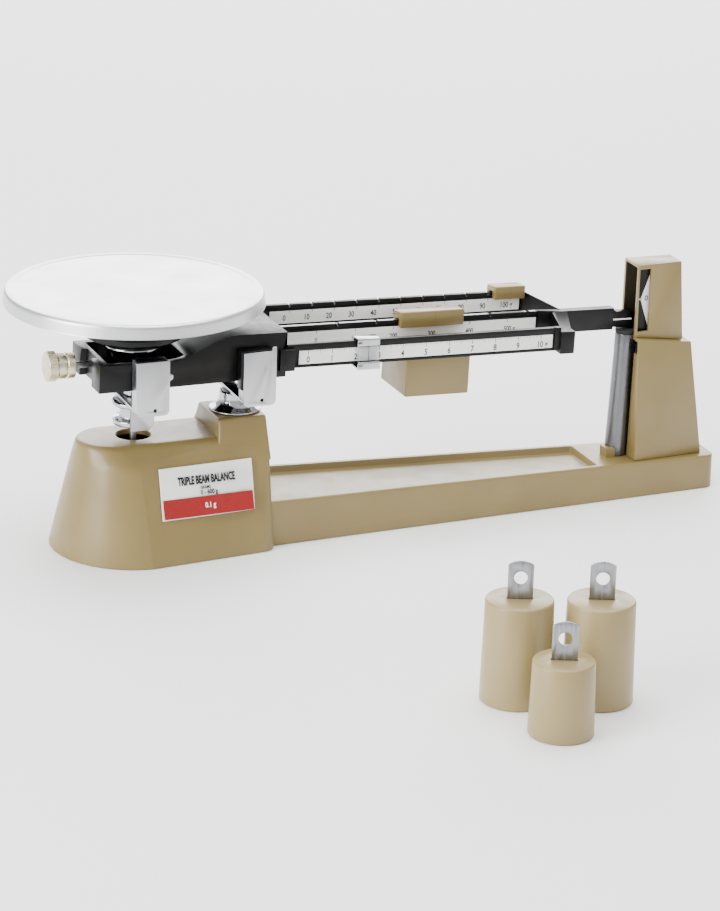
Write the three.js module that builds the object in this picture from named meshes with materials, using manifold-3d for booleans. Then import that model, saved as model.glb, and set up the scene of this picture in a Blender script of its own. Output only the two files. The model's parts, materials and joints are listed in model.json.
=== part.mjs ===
// Triple-beam balance: a cast base with a pan at its left end, three notched beams with sliding
// poises, an index post at its right end, and three loose attachment weights.
// Millimetres, +Z up, +X towards the index post, -Y towards the user.
// The origin is the middle of the base's underside.
import * as THREE from 'three';
import { mergeVertices } from 'three/addons/utils/BufferGeometryUtils.js';
import Module from 'manifold-3d';

const wasm = await Module();
wasm.setup();

// ---------------------------------------------------------------- driving dimensions
const gap = 0.3; // left between two pieces that touch

// base casting
const baseLength = 423;
const fulcrumHeight = 108;
const wall = 3;
const housingEndRadius = 49; // the round left end, at the floor
const housingHalfWidthRight = 42;
const shoulderBelowFulcrum = 52;
const shoulderRadius = 32;
const shoulderHalfWidthRight = 27.3;
const housingBelowFulcrum = 42;
const housingTopRadius = 20;
const padBelowFulcrum = 32;
const padHalfWidth = 17.5;
const padBefore = 17; // pad's reach left of the fulcrum
const padAfter = 13;
const rodHoleRadius = 10;
const channelHeightLeft = 27;
const channelHeightRight = 20.5;
const channelHalfWidthLeft = 34;
const channelHalfWidthRight = 20;
const channelDraft = 1.6; // how much narrower the rim is than the foot
const channelCornerRadius = 7;
const trayDepth = 4;
const trayRim = 4;
const trayBeforePost = 26;
const coverThickness = 1.5;
const coverScrewHeadRadius = 3;
const coverScrewRadius = 1.5;
const coverBossRadius = 4.5;

// lever
const loadArm = 63; // from the fulcrum to the pan's knife edges
const beamDroop = THREE.MathUtils.degToRad(1.62); // the beam rests on its lower stop
const linkBelowFulcrum = 72;

// beam casting: the lever's heights are measured from its fulcrum, with the lever level
const castingHalfWidth = 25.5;
const castingWall = 4.5;
const castingBelowFulcrum = 9.1;
const castingLowAbove = 7.3;
const castingHighAbove = 20.8;
const castingBeforeLoad = 29; // reach left of the load knife edges
const castingAfterFulcrum = 21.5;
const castingDeck = 4;

// beams
const barThickness = 3.4;
const plateShortBy = 8.5; // how much shorter a scale plate is than its beam
const plateThickness = 0.8;
const middleNotchAfterMark = 13.6;
const rearBarAbove = 21.7;
const middleBarAbove = 16;
const frontBarAbove = 12.9;
const notchWidth = 1.8;
const notchDepth = 1.8;

// neck between the beams and the post
const neckHalfThickness = 3;
const neckTopAbove = 15.3;
const neckBottomAbove = 1.9;
const neckLength = 64.7;
const neckPast = 2; // how far the nose enters the post's open side
const noseReach = 14;

// poises
const poiseClearance = 0.6;
const rearPoise = { length: 20.2, height: 8.2, front: 5, skirt: 15, marker: 12.2 };
const middlePoise = { length: 41, height: 9.8, front: 6, marker: 22.3 };
const middleBlock = { depth: 38, height: 28.4 };
const frontRider = { length: 14, lip: 4.6, reach: 3 };
const rearPoisePast = 0.35; // how far the rear poise stands over its beam's end at the last mark

// scales: the first mark after the beam's left end, the last before its right end, even steps between
const rearScale = { first: 20.2, last: rearPoise.length - rearPoise.marker - rearPoisePast, steps: 10 };
const middleScale = { first: 27.7, last: 19.87, steps: 5 };
const frontScale = { first: 13.2, last: 8.74, steps: 10 };
const rearReading = 100;
const middleReading = 300;
const frontReading = 2.45;

// stirrups round the knife edges
const stirrupWidth = 20;
const stirrupHeight = 32.6;
const stirrupBesideCasting = 9.5;
const stirrupSheet = 1.4;
const stirrupFlange = 8.4;
const stirrupBelowFulcrum = 20;
const knifeHeight = 6;
const knifeHalfWidth = 2.6;
const bearingHeight = 8;
const fulcrumPlateShift = 2; // the fulcrum's plates stand this far to the right of its edge

// pan and its spindle
const panRadius = 74.6;
const panAbove = 46.9;
const panSheet = 1.2;
const panSkirt = 7.9;
const panFlare = 0.9;
const panEdgeRadius = 2;
const hubRadius = 29.5;
const hubNeckRadius = 10;
const cupRadius = 17.7;
const spoolRadius = 12.6;
const spoolNeckRadius = 8.2;
const rodRadius = 2;

// index post
const postBeforeEnd = 55.5; // from the post's open side to the base's right end
const postLowerBelowLeft = 9.2; // the lower cover's top, below the fulcrum's height
const postLowerBelowRight = 14.5;
const postUpperAbove = 36.3;
const postLowerLengthFoot = 48;
const postLowerLengthTop = 37.5;
const postUpperLengthFoot = 33.5;
const postUpperLengthTop = 29.7;
const postWall = 2;
const windowWidth = 7.6;
const windowBelow = 5.6;
const windowAbove = 33.7;
const restRadiusFoot = 6.9;
const restRadiusTop = 6.2;
const mouthRoom = 0.25; // beside the beam rest, where the post's open side passes it
const magnetBelow = 42;
const magnetHeight = 20;
const magnetHalfGap = 4;
const bracketHalfWidth = 9.8;
const vaneWidth = 14;

// zero-adjusting knob
const knobRadius = 8.8;
const knobRim = 5.5;
const knobShankRadius = 7.7;
const knobShank = 10.6;
const knobAbove = 1;

// loose attachment weights
const largeWeight = { radius: 19.4, topRadius: 18.3, height: 57 };
const smallWeight = { radius: 17.5, topRadius: 16.5, height: 41 };
const tab = { width: 13.6, height: 21, thickness: 1.2, holeRadius: 3.6, holeDrop: 9.5, sunk: 4 };
const weightTurn = THREE.MathUtils.degToRad(-22.7); // the tabs face the user's left a little
const weightPlaces = { left: [-44.4, -284.2], right: [-3.6, -298.6], front: [-40.6, -332.8] };

// ---------------------------------------------------------------- places worked out from them
const baseLeft = -baseLength / 2;
const baseRight = baseLength / 2;
const panX = baseLeft + housingEndRadius;
const fulcrumX = panX + loadArm;
const padLeft = fulcrumX - padBefore;
const housingRight = fulcrumX + padAfter;
const castingLeft = panX - castingBeforeLoad;
const castingRight = fulcrumX + castingAfterFulcrum;
const postLeft = baseRight - postBeforeEnd;
const neckRight = postLeft + neckPast;
const barLeft = castingRight + gap;
const barRight = neckRight - neckLength;
const barLength = barRight - barLeft;
const plateLength = barLength - plateShortBy;
const plateLeft = barRight - 1 - plateLength;
const shoulderHeight = fulcrumHeight - shoulderBelowFulcrum;
const housingHeight = fulcrumHeight - housingBelowFulcrum;
const padHeight = fulcrumHeight - padBelowFulcrum;
const linkHeight = fulcrumHeight - linkBelowFulcrum;
const castingBottom = fulcrumHeight - castingBelowFulcrum;
const castingLowTop = fulcrumHeight + castingLowAbove;
const castingHighTop = fulcrumHeight + castingHighAbove;
const neckTop = fulcrumHeight + neckTopAbove;
const neckBottom = fulcrumHeight + neckBottomAbove;
const knobHeight = fulcrumHeight + knobAbove;
const stirrupBottom = fulcrumHeight - stirrupBelowFulcrum;
const stirrupHalfSpan = castingHalfWidth + stirrupBesideCasting;
const panTop = fulcrumHeight + panAbove;
const postLowerHeightLeft = fulcrumHeight - postLowerBelowLeft;
const postLowerHeightRight = fulcrumHeight - postLowerBelowRight;
const postUpperHeight = fulcrumHeight + postUpperAbove;
const windowLow = fulcrumHeight - windowBelow;
const windowHigh = fulcrumHeight + windowAbove;
const magnetLow = fulcrumHeight - magnetBelow;
const loadHeight = fulcrumHeight + loadArm * Math.sin(beamDroop);
const rodPivotHeight = linkHeight + loadArm * Math.sin(beamDroop);
const trayRight = postLeft - trayBeforePost;
const panUnderside = panTop - panSheet;
const restX = postLeft - 2;
const restFootX = restX - 2.7; // the beam rest leans

const rearBar = { y: castingHalfWidth + 0.5, top: fulcrumHeight + rearBarAbove, height: 13.3, rail: 3.7,
  plateHeight: 8.2 };
const middleBar = { y: 1, top: fulcrumHeight + middleBarAbove, height: 13.3, rail: 3.6, plateHeight: 8.2 };
const frontBar = { y: 1.5 - castingHalfWidth, top: fulcrumHeight + frontBarAbove, height: 14.2, rail: 3.8,
  plateHeight: 8.6 };

// ---------------------------------------------------------------- finishes
const finishes = {
  enamel: { color: 0xc2ae7e, roughness: 0.42, metalness: 0.0 },
  black: { color: 0x1c1c1e, roughness: 0.45, metalness: 0.0 },
  chrome: { color: 0xd9dadc, roughness: 0.18, metalness: 1.0 },
  steel: { color: 0xb9babc, roughness: 0.34, metalness: 1.0 },
  brass: { color: 0xc9b98f, roughness: 0.3, metalness: 1.0 },
  white: { color: 0xf2f2f0, roughness: 0.5, metalness: 0.0 },
  rubber: { color: 0x151515, roughness: 0.8, metalness: 0.0 },
  magnet: { color: 0x4a4b4f, roughness: 0.5, metalness: 0.3 },
  clear: { color: 0xe8eef0, roughness: 0.08, metalness: 0.0 },
};

// ---------------------------------------------------------------- shape helpers
const X = new THREE.Vector3(1, 0, 0);
const Y = new THREE.Vector3(0, 1, 0);
const Z = new THREE.Vector3(0, 0, 1);

// Joins the shared corners and turns the faces outwards.
function weld(geometry) {
  geometry.deleteAttribute('normal');
  if (geometry.attributes.uv) geometry.deleteAttribute('uv');
  const welded = mergeVertices(geometry, 1e-4);
  const position = welded.attributes.position;
  const index = Array.from(welded.index.array);
  const kept = [];
  let volume = 0;
  const [a, b, c] = [new THREE.Vector3(), new THREE.Vector3(), new THREE.Vector3()];
  for (let i = 0; i < index.length; i += 3) {
    const corners = index.slice(i, i + 3);
    if (new Set(corners).size < 3) continue;
    kept.push(...corners);
    a.fromBufferAttribute(position, corners[0]);
    b.fromBufferAttribute(position, corners[1]);
    c.fromBufferAttribute(position, corners[2]);
    volume += a.dot(b.cross(c)) / 6;
  }
  if (volume < 0) {
    for (let i = 0; i < kept.length; i += 3) [kept[i], kept[i + 1]] = [kept[i + 1], kept[i]];
  }
  welded.setIndex(kept);
  return welded;
}

function solid(geometry) {
  const welded = weld(geometry);
  return new wasm.Manifold(new wasm.Mesh({
    numProp: 3,
    vertProperties: new Float32Array(welded.attributes.position.array),
    triVerts: new Uint32Array(welded.index.array),
  }));
}

function shell(manifold) {
  const { vertProperties, triVerts } = manifold.getMesh();
  const geometry = new THREE.BufferGeometry();
  geometry.setAttribute('position', new THREE.BufferAttribute(new Float32Array(vertProperties), 3));
  geometry.setIndex(Array.from(triVerts));
  return geometry;
}

function cut(body, ...tools) {
  return shell(tools.reduce((rest, tool) => rest.subtract(solid(tool)), solid(body)));
}

function join(...bodies) {
  return shell(bodies.map(solid).reduce((whole, body) => whole.add(body)));
}

function block(x0, x1, y0, y1, z0, z1) {
  const geometry = new THREE.BoxGeometry(x1 - x0, y1 - y0, z1 - z0);
  geometry.translate((x0 + x1) / 2, (y0 + y1) / 2, (z0 + z1) / 2);
  return geometry;
}

// An outline pushed along one axis: outlines are in (Y, Z) for x, (X, Z) for y and (X, Y) for z.
function prism(axis, outline, low, high, holes = []) {
  const shape = new THREE.Shape(outline.map(([u, v]) => new THREE.Vector2(u, v)));
  shape.holes = holes.map((hole) => new THREE.Path(hole.map(([u, v]) => new THREE.Vector2(u, v))));
  const geometry = new THREE.ExtrudeGeometry(shape, { depth: high - low, bevelEnabled: false });
  const frames = { x: [Y, Z, X, X, low], y: [X, Z, Y.clone().negate(), Y, high], z: [X, Y, Z, Z, low] };
  const [u, v, w, along, start] = frames[axis];
  geometry.applyMatrix4(new THREE.Matrix4().makeBasis(u, v, w));
  geometry.translate(along.x * start, along.y * start, along.z * start);
  return geometry;
}

function rod(axis, radius, low, high, u, v, sides = 20) {
  const geometry = new THREE.CylinderGeometry(radius, radius, high - low, sides);
  const middle = (low + high) / 2;
  if (axis === 'x') {
    geometry.rotateZ(Math.PI / 2);
    geometry.translate(middle, u, v);
  } else if (axis === 'y') {
    geometry.translate(u, middle, v);
  } else {
    geometry.rotateX(Math.PI / 2);
    geometry.translate(u, v, middle);
  }
  return geometry;
}

// A turned piece: radius and height pairs that start and end on the axis or close on themselves.
function turned(profile, x, y, sides = 32) {
  const geometry = new THREE.LatheGeometry(profile.map(([r, z]) => new THREE.Vector2(r, z)), sides);
  geometry.rotateX(Math.PI / 2);
  geometry.translate(x, y, 0);
  return geometry;
}

// Skins a stack of convex rings, each with the same number of points.
function loft(rings) {
  const count = rings[0].length;
  const points = rings.flat(2);
  const index = [];
  for (let ring = 0; ring + 1 < rings.length; ring += 1) {
    for (let i = 0; i < count; i += 1) {
      const a = ring * count + i;
      const b = ring * count + ((i + 1) % count);
      index.push(a, b, b + count, a, b + count, a + count);
    }
  }
  const last = (rings.length - 1) * count;
  for (let i = 1; i + 1 < count; i += 1) {
    index.push(0, i + 1, i, last, last + i, last + i + 1);
  }
  const geometry = new THREE.BufferGeometry();
  geometry.setAttribute('position', new THREE.Float32BufferAttribute(points, 3));
  geometry.setAttribute('normal', new THREE.Float32BufferAttribute(points, 3));
  geometry.setIndex(index);
  return geometry;
}

function arc(cx, cy, radius, from, to, steps) {
  const points = [];
  for (let i = 0; i <= steps; i += 1) {
    const angle = THREE.MathUtils.degToRad(from + ((to - from) * i) / steps);
    points.push([cx + radius * Math.cos(angle), cy + radius * Math.sin(angle)]);
  }
  return points;
}

function circle(cx, cy, radius, sides = 20) {
  return arc(cx, cy, radius, 0, 360 - 360 / sides, sides - 1);
}

function piece(name, geometry, finish) {
  const material = new THREE.MeshStandardMaterial({ ...finishes[finish], flatShading: true });
  const mesh = new THREE.Mesh(weld(geometry), material);
  mesh.name = name;
  return mesh;
}

// ---------------------------------------------------------------- base
function channelTop(x) {
  const share = (x - housingRight) / (baseRight - housingRight);
  return channelHeightLeft + (channelHeightRight - channelHeightLeft) * share;
}

function channelHalfWidth(x) {
  const share = (x - housingRight) / (baseRight - housingRight);
  return channelHalfWidthLeft + (channelHalfWidthRight - channelHalfWidthLeft) * share;
}

// One level of the housing: a round left end whose flanks run to the right end.
function housingRing(z, centreX, radius, right, halfWidth) {
  const outline = [[right, -halfWidth], [right, halfWidth], ...arc(centreX, 0, radius, 90, 270, 20)];
  return outline.map(([x, y]) => [x, y, z]);
}

function housingBody(inset) {
  const right = housingRight - inset;
  const topCentre = panX - 14;
  const shoulderCentre = panX - 4;
  return loft([
    housingRing(inset ? -1 : 0, panX, housingEndRadius - inset, right, housingHalfWidthRight - inset),
    housingRing(shoulderHeight - inset, shoulderCentre, shoulderRadius - inset, right,
      shoulderHalfWidthRight - inset),
    housingRing(housingHeight - inset, topCentre, housingTopRadius - inset, right,
      housingTopRadius - inset),
  ]);
}

function padBody() {
  const ring = (z, left, halfWidth) => [
    [left, -halfWidth, z], [housingRight, -halfWidth, z], [housingRight, halfWidth, z],
    [left, halfWidth, z],
  ];
  const flare = 1.7;
  return loft([
    ring(shoulderHeight - 6, padLeft - flare, shoulderHalfWidthRight),
    ring(shoulderHeight, padLeft - flare, shoulderHalfWidthRight - gap),
    ring(padHeight, padLeft, padHalfWidth),
  ]);
}

// The channel between two x positions, inset from its walls, from one height to another.
function channelBody(left, right, inset, low, high) {
  const ring = (shrink, height) => {
    const half = (x) => channelHalfWidth(x) - inset - shrink;
    const radius = Math.max(channelCornerRadius - inset, 1);
    const corner = right - radius;
    const front = arc(corner, -half(right) + radius, radius, -90, 0, 5);
    const back = arc(corner, half(right) - radius, radius, 0, 90, 5);
    const outline = [[left, -half(left)], ...front, ...back, [left, half(left)]];
    return outline.map(([x, y]) => [x, y, height(x)]);
  };
  return loft([ring(0, low), ring(channelDraft, high)]);
}

function innerSpace(inset) {
  const room = solid(housingBody(inset));
  const ceiling = (x) => channelTop(x) - trayDepth - wall;
  const run = channelBody(housingRight - 10, baseRight - inset, inset, () => -1, ceiling);
  return room.add(solid(run));
}

const coverScrews = [[panX, 36], [panX, -36], [postLeft - 30, 0]];

// A lug that hugs the beam rest's foot, cast with the channel.
function restClip() {
  const foot = channelTop(restX);
  const lug = block(restFootX - restRadiusFoot - 2.6, restFootX - 3.6, -7, 2, foot - 1, foot + 6);
  return cut(lug, rod('z', restRadiusFoot + gap, foot - 3, foot + 9, restFootX, 0, 24));
}

function baseCasting() {
  const outside = solid(housingBody(0))
    .add(solid(padBody()))
    .add(solid(channelBody(housingRight - 8, baseRight, 0, () => 0, channelTop)));
  const tray = channelBody(housingRight + trayRim, trayRight, trayRim, (x) => channelTop(x) - trayDepth,
    (x) => channelTop(x) + 1);
  let body = outside.subtract(innerSpace(wall)).subtract(solid(tray));
  for (const [x, y] of coverScrews) {
    const bossTop = x < housingRight ? shoulderHeight / 2 : channelTop(x) - trayDepth - 1;
    body = body.add(solid(rod('z', coverBossRadius, coverThickness + gap, bossTop, x, y)));
    body = body.subtract(solid(rod('z', coverScrewRadius + gap, -1, 10, x, y)));
  }
  body = body.subtract(solid(rod('z', rodHoleRadius, housingHeight - 12, housingHeight + 4, panX, 0, 32)));
  body = body.subtract(solid(rod('z', 3 + gap, 40, padHeight + 4, fulcrumX, 0)));
  return shell(body.add(solid(restClip())));
}

function bottomCover() {
  let sheet = innerSpace(wall + gap).intersect(solid(block(-300, 300, -80, 80, 0, coverThickness)));
  for (const [x, y] of coverScrews) {
    sheet = sheet.subtract(solid(rod('z', coverScrewHeadRadius + gap, -1, coverThickness + 1, x, y)));
  }
  return shell(sheet);
}

function coverScrew(x, y) {
  const profile = [[0, 0.2], [coverScrewHeadRadius, 0.2], [coverScrewHeadRadius, coverThickness],
    [coverScrewRadius, coverThickness], [coverScrewRadius, 9], [0, 9]];
  return turned(profile, x, y, 16);
}

// A thin plate that lies on the housing's leaning front face.
function labelPlate() {
  const middle = (panX + housingRight) / 2;
  const patch = block(middle - 33.5, middle + 24.5, -60, 0, shoulderHeight - 30, shoulderHeight - 1.2);
  const outside = solid(housingBody(-gap - 0.8)).subtract(solid(housingBody(-gap - 0.15)));
  return shell(outside.intersect(solid(patch)));
}

// ---------------------------------------------------------------- fulcrum and load stirrups
function stirrupPlate(centreX, side, bottom, flangeTop, nib) {
  const half = stirrupWidth / 2;
  const bend = 3;
  const top = bottom + stirrupHeight;
  const outline = [
    ...arc(centreX - half + bend, bottom + bend, bend, 180, 270, 4),
    ...arc(centreX + half - bend, bottom + bend, bend, 270, 360, 4),
    ...nib.map(([inwards, down]) => [centreX + half - inwards, top - down]),
    [centreX - half, top],
  ];
  const face = side * stirrupHalfSpan;
  const [y0, y1] = side < 0 ? [face, face + stirrupSheet] : [face - stirrupSheet, face];
  const plate = prism('y', outline, y0, y1, [circle(centreX + 1.4, bottom + 3.4, 1.1, 10)]);
  const [f0, f1] = side < 0 ? [face + 0.1, face + stirrupFlange] : [face - stirrupFlange, face - 0.1];
  const flange = block(centreX - half, centreX - half + stirrupSheet, f0, f1, bottom + bend, flangeTop);
  return join(plate, flange);
}

function stirrupBridge(centreX, bottom) {
  const half = stirrupWidth / 2 - stirrupSheet - gap;
  const reach = stirrupHalfSpan - stirrupSheet - gap;
  return block(centreX - half, centreX + half, -reach, reach, bottom, bottom + 2.3);
}

function besideCasting(side, outline, hole) {
  const inner = castingHalfWidth + 1;
  const outer = stirrupHalfSpan - stirrupSheet - gap;
  return side < 0 ? prism('y', outline, -outer, -inner, [hole]) : prism('y', outline, inner, outer, [hole]);
}

// A hardened block round the knife edge, which bears on the vee at the window's foot.
function fulcrumBearing(side) {
  const z = fulcrumHeight - 2 * gap;
  const low = stirrupBottom + 10;
  const high = stirrupBottom + stirrupHeight + 0.6;
  const left = fulcrumX - 9;
  const right = fulcrumX + fulcrumPlateShift + stirrupWidth / 2 - 1;
  const window = [[fulcrumX, z], [fulcrumX + 5, z + 3], [fulcrumX + 5, z + bearingHeight + 2],
    [fulcrumX - 5, z + bearingHeight + 2], [fulcrumX - 5, z + 3]];
  return besideCasting(side, [[left, low], [right, low], [right, high], [left, high]], window);
}

// The same block upside down: the stirrup hangs with its vee on the load knife's edge.
function loadBearing(side) {
  const z = loadHeight + 2 * gap;
  const low = z - bearingHeight - 4;
  const high = stirrupBottom + stirrupHeight + 0.4;
  const left = panX - stirrupWidth / 2 + stirrupSheet + gap;
  const right = panX + stirrupWidth / 2 - 1;
  const window = [[panX, z], [panX - 5, z - 3], [panX - 5, z - bearingHeight - 2],
    [panX + 5, z - bearingHeight - 2], [panX + 5, z - 3]];
  return besideCasting(side, [[left, low], [right, low], [right, high], [left, high]], window);
}

function knife(x, z, side, up) {
  const back = z + up * knifeHeight;
  const outline = [[x, z], [x + knifeHalfWidth, back], [x - knifeHalfWidth, back]];
  const inner = castingHalfWidth - castingWall + 0.5;
  const outer = stirrupHalfSpan - stirrupSheet - 2 * gap;
  return side < 0 ? prism('y', outline, -outer, -inner) : prism('y', outline, inner, outer);
}

function fulcrumColumn() {
  const foot = padHeight + gap;
  const stem = stirrupBottom - gap;
  return turned([[0, foot], [15.5, foot], [15.5, foot + 1], [13.6, foot + 1.8], [11.6, foot + 3],
    [10.2, foot + 5], [9.6, foot + 7.6], [9.6, stem], [0, stem]], fulcrumX, 0);
}

// ---------------------------------------------------------------- beam
function castingTopAt(x) {
  const from = panX + 12.5;
  const to = fulcrumX - 8.5;
  const share = THREE.MathUtils.clamp((x - from) / (to - from), 0, 1);
  return castingLowTop + (castingHighTop - castingLowTop) * share * share * (3 - 2 * share);
}

function beamCasting() {
  const profile = [[castingLeft, castingBottom], [castingRight, castingBottom + 3],
    [castingRight, castingHighTop]];
  for (let x = fulcrumX - 8.5; x >= panX + 12.4; x -= 4) profile.push([x, castingTopAt(x)]);
  profile.push([castingLeft, castingLowTop]);
  const half = castingHalfWidth;
  const body = prism('y', profile, -half, half);
  const inside = half - castingWall;
  const well = block(castingLeft + 6, panX + 23, -inside, inside, castingBottom - 5, castingHighTop + 5);
  const hollow = block(panX + 27, castingRight - 5, -inside, inside, castingBottom - 5,
    castingLowTop + 1 - castingDeck);
  const deckHollow = block(fulcrumX - 12, castingRight - 5, -inside, inside, castingBottom,
    castingHighTop - castingDeck);
  const recess = prism('x', [...arc(0, knobHeight, 11, 0, 180, 10), [-11, castingBottom - 2],
    [11, castingBottom - 2]], castingLeft - 1, castingLeft + 3.6);
  const stud = rod('x', 2 + gap, castingLeft - 1, castingLeft + 8, 0, knobHeight);
  const room = 2 * gap;
  const slots = [[panX, -1], [fulcrumX, 1]].map(([x, up]) => {
    const low = Math.min(fulcrumHeight, fulcrumHeight + up * knifeHeight) - room;
    const high = Math.max(fulcrumHeight, fulcrumHeight + up * knifeHeight) + room;
    return block(x - knifeHalfWidth - room, x + knifeHalfWidth + room, -half - 1, half + 1, low, high);
  });
  const lug = block(castingRight - 5, castingRight + 4.2, -half - 3.5, frontBar.y - barThickness / 2 - gap,
    frontBar.top - frontBar.height - 0.6, frontBar.top - 2);
  const lugRoot = block(castingRight - 5, castingRight - 0.2, -half - 3.5, -half + 2,
    frontBar.top - frontBar.height - 0.6, frontBar.top - 2);
  return join(cut(body, well, hollow, deckHollow, recess, stud, ...slots), join(lug, lugRoot));
}

function beamBar(bar, notches, firstNotch, pitch) {
  const front = bar.y - barThickness / 2;
  const back = bar.y + barThickness / 2;
  const low = bar.top - bar.height;
  const plateTop = bar.top - bar.rail;
  const plateLow = plateTop - bar.plateHeight;
  const seat = front + plateThickness + gap;
  const outline = [[front, low], [back, low], [back, bar.top], [front, bar.top], [front, plateTop],
    [seat, plateTop], [seat, plateLow], [front, plateLow]];
  const body = prism('x', outline, barLeft, barRight);
  const cuts = [];
  for (let i = 0; i < notches; i += 1) {
    const x = firstNotch + i * pitch;
    const half = notchWidth / 2;
    const vee = [[x - half, bar.top + 1], [x + half, bar.top + 1], [x + half * 0.5, bar.top - notchDepth],
      [x - half * 0.5, bar.top - notchDepth]];
    cuts.push(prism('y', vee, front - 1, back + 1));
  }
  return cut(body, ...cuts);
}

function scalePlate(bar) {
  const front = bar.y - barThickness / 2;
  const top = bar.top - bar.rail - 0.2;
  return block(plateLeft, plateLeft + plateLength, front, front + plateThickness,
    top - bar.plateHeight + 0.4, top);
}

// A convex arm between two four-cornered faces.
function arm(faceA, faceB) {
  return loft([faceA, faceB]);
}

function faceAcrossX(x, y0, y1, z0, z1) {
  return [[x, y0, z0], [x, y1, z0], [x, y1, z1], [x, y0, z1]];
}

function endSpider() {
  const start = barRight + gap;
  const root = start + 16;
  const lugFront = frontBar.y - barThickness / 2 - 3;
  const lugBack = frontBar.y + barThickness / 2;
  const lugLow = frontBar.top - frontBar.height - 1.4;
  const lugTop = frontBar.top - 2;
  const faceAcross = (bar, x) => faceAcrossX(x, bar.y - barThickness / 2, bar.y + barThickness / 2,
    bar.top - bar.height, bar.top);
  const across = (y, x0, x1, z0, z1) => [[x0, y, z0], [x1, y, z0], [x1, y, z1], [x0, y, z1]];
  const rearArm = arm(faceAcross(rearBar, start),
    faceAcrossX(root, 1, neckHalfThickness + 2, neckBottom, neckTop));
  const middleArm = arm(faceAcross(middleBar, start),
    faceAcrossX(root, -1, 3, neckBottom, neckTop));
  const frontLug = block(start + 3, start + 12, lugFront, lugBack, lugLow, lugTop);
  const frontStub = block(start, start + 4, frontBar.y - barThickness / 2, lugBack,
    frontBar.top - frontBar.height, frontBar.top);
  const frontArm = arm(across(lugBack - 1, start + 5.5, start + 11.5, lugLow + 1, lugTop),
    across(-neckHalfThickness + 2, start + 9, root + 3, neckBottom, neckTop));
  const neck = block(root - 5, neckRight - noseReach, -neckHalfThickness + 1, neckHalfThickness + 1,
    neckBottom, neckTop);
  const nose = prism('y', [[neckRight - noseReach - 2, neckBottom + 1.6], [neckRight, neckBottom],
    [neckRight, neckTop - 3], [neckRight - noseReach + 2, neckTop - 2.4],
    [neckRight - noseReach - 1, neckTop - 0.4]],
  -neckHalfThickness + 1.4, neckHalfThickness + 0.6);
  return join(rearArm, middleArm, frontLug, frontStub, frontArm, neck, nose);
}

// The vane clears the beam rest's cap, then drops between the magnets.
function dampingVane() {
  const left = neckRight + gap;
  const drop = restX + restRadiusTop + 2.5;
  const right = drop + vaneWidth;
  const foot = magnetLow + 10;
  return prism('y', [[left, neckBottom + 2], [left, neckTop - 6], [drop, neckTop - 6],
    [right, neckBottom - 2], [right, foot], [drop, foot], [drop, neckBottom + 2]], 0.4, 1.6);
}

function zeroStud() {
  return rod('x', 2, castingLeft - 20, castingLeft + 6 - gap, 0, knobHeight, 16);
}

function zeroKnob() {
  const face = castingLeft - 24;
  const step = face + knobRim;
  const end = step + knobShank;
  const outer = join(rod('x', knobRadius, face, step, 0, knobHeight, 36),
    rod('x', knobShankRadius, step - 0.5, end, 0, knobHeight, 28));
  return cut(outer, rod('x', 2 + gap, face + 2, end + 1, 0, knobHeight, 16),
    rod('x', 4.2, end - 3, end + 1, 0, knobHeight, 16));
}

function zeroWasher() {
  const right = castingLeft - 24 + knobRim + knobShank;
  return cut(rod('x', 4.2 - gap, right - 3 + gap, right - 0.6, 0, knobHeight, 16),
    rod('x', 2 + gap, right - 5, right + 1, 0, knobHeight, 16));
}

// ---------------------------------------------------------------- pan and spindle
function pan() {
  const bend = panEdgeRadius;
  const rimZ = panTop - panSkirt;
  const outerEdge = arc(panRadius - bend, panTop - bend, bend, 90, 0, 4);
  const innerEdge = arc(panRadius - bend, panTop - bend, bend - panSheet, 0, 90, 3);
  const rimRadius = panRadius + panFlare;
  return turned([[0, panTop], ...outerEdge, [rimRadius, rimZ], [rimRadius - panSheet, rimZ], ...innerEdge,
    [0, panUnderside]], panX, 0, 64);
}

function panHub() {
  const low = panTop - 32.3;
  return turned([[0, low], [cupRadius + 0.4, low], [hubRadius, low + 5.4], [hubRadius, low + 9],
    [14, low + 12], [hubNeckRadius, low + 16], [hubNeckRadius, panUnderside - gap],
    [0, panUnderside - gap]], panX, 0);
}

function panCup() {
  const top = panTop - 32.3 - gap;
  const low = top - 12.2;
  const foot = stirrupBottom + 2.3 + gap;
  return turned([[0, foot], [6, foot], [6, low - 1], [cupRadius - 3.2, low], [cupRadius, top], [0, top]],
    panX, 0);
}

function panSpool() {
  const top = stirrupBottom - gap;
  return turned([[0, top - 14.2], [spoolRadius - 0.4, top - 14.2], [spoolRadius - 0.4, top - 10.9],
    [spoolNeckRadius, top - 10.2], [spoolNeckRadius - 0.4, top - 3.2], [spoolRadius, top - 2.6],
    [spoolRadius, top], [0, top]], panX, 0);
}

// The stirrup's front tab, which keeps the spindle from turning.
function stirrupTab() {
  const low = stirrupBottom - 15.5;
  const high = stirrupBottom + 1;
  const clip = 3.4;
  const left = panX - 6.4;
  const right = panX + 8;
  return prism('y', [[left, low], [right - clip, low], [right, low + clip], [right, high - clip - 5],
    [right - clip, high - 5], [right - clip, high], [left, high]],
  -spoolRadius - gap - stirrupSheet, -spoolRadius - gap);
}

function checkRod() {
  const low = rodPivotHeight - 4;
  const top = stirrupBottom - 14.2 - 2 * gap;
  const pin = rod('y', 1.2, 1, 7.4, panX, rodPivotHeight, 12);
  return join(rod('z', rodRadius, low, top, panX, 0, 16), pin);
}

// The stud hangs through the housing's roof, with its locking nut hard under the roof.
function columnStud() {
  const pin = rod('y', 1.2, 1, 7.4, fulcrumX, linkHeight, 12);
  const nutTop = housingHeight - wall - gap;
  const nut = rod('z', 6, nutTop - 5, nutTop, fulcrumX, 0, 6);
  return join(rod('z', 3, linkHeight - 5, padHeight, fulcrumX, 0, 16), nut, pin);
}

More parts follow.
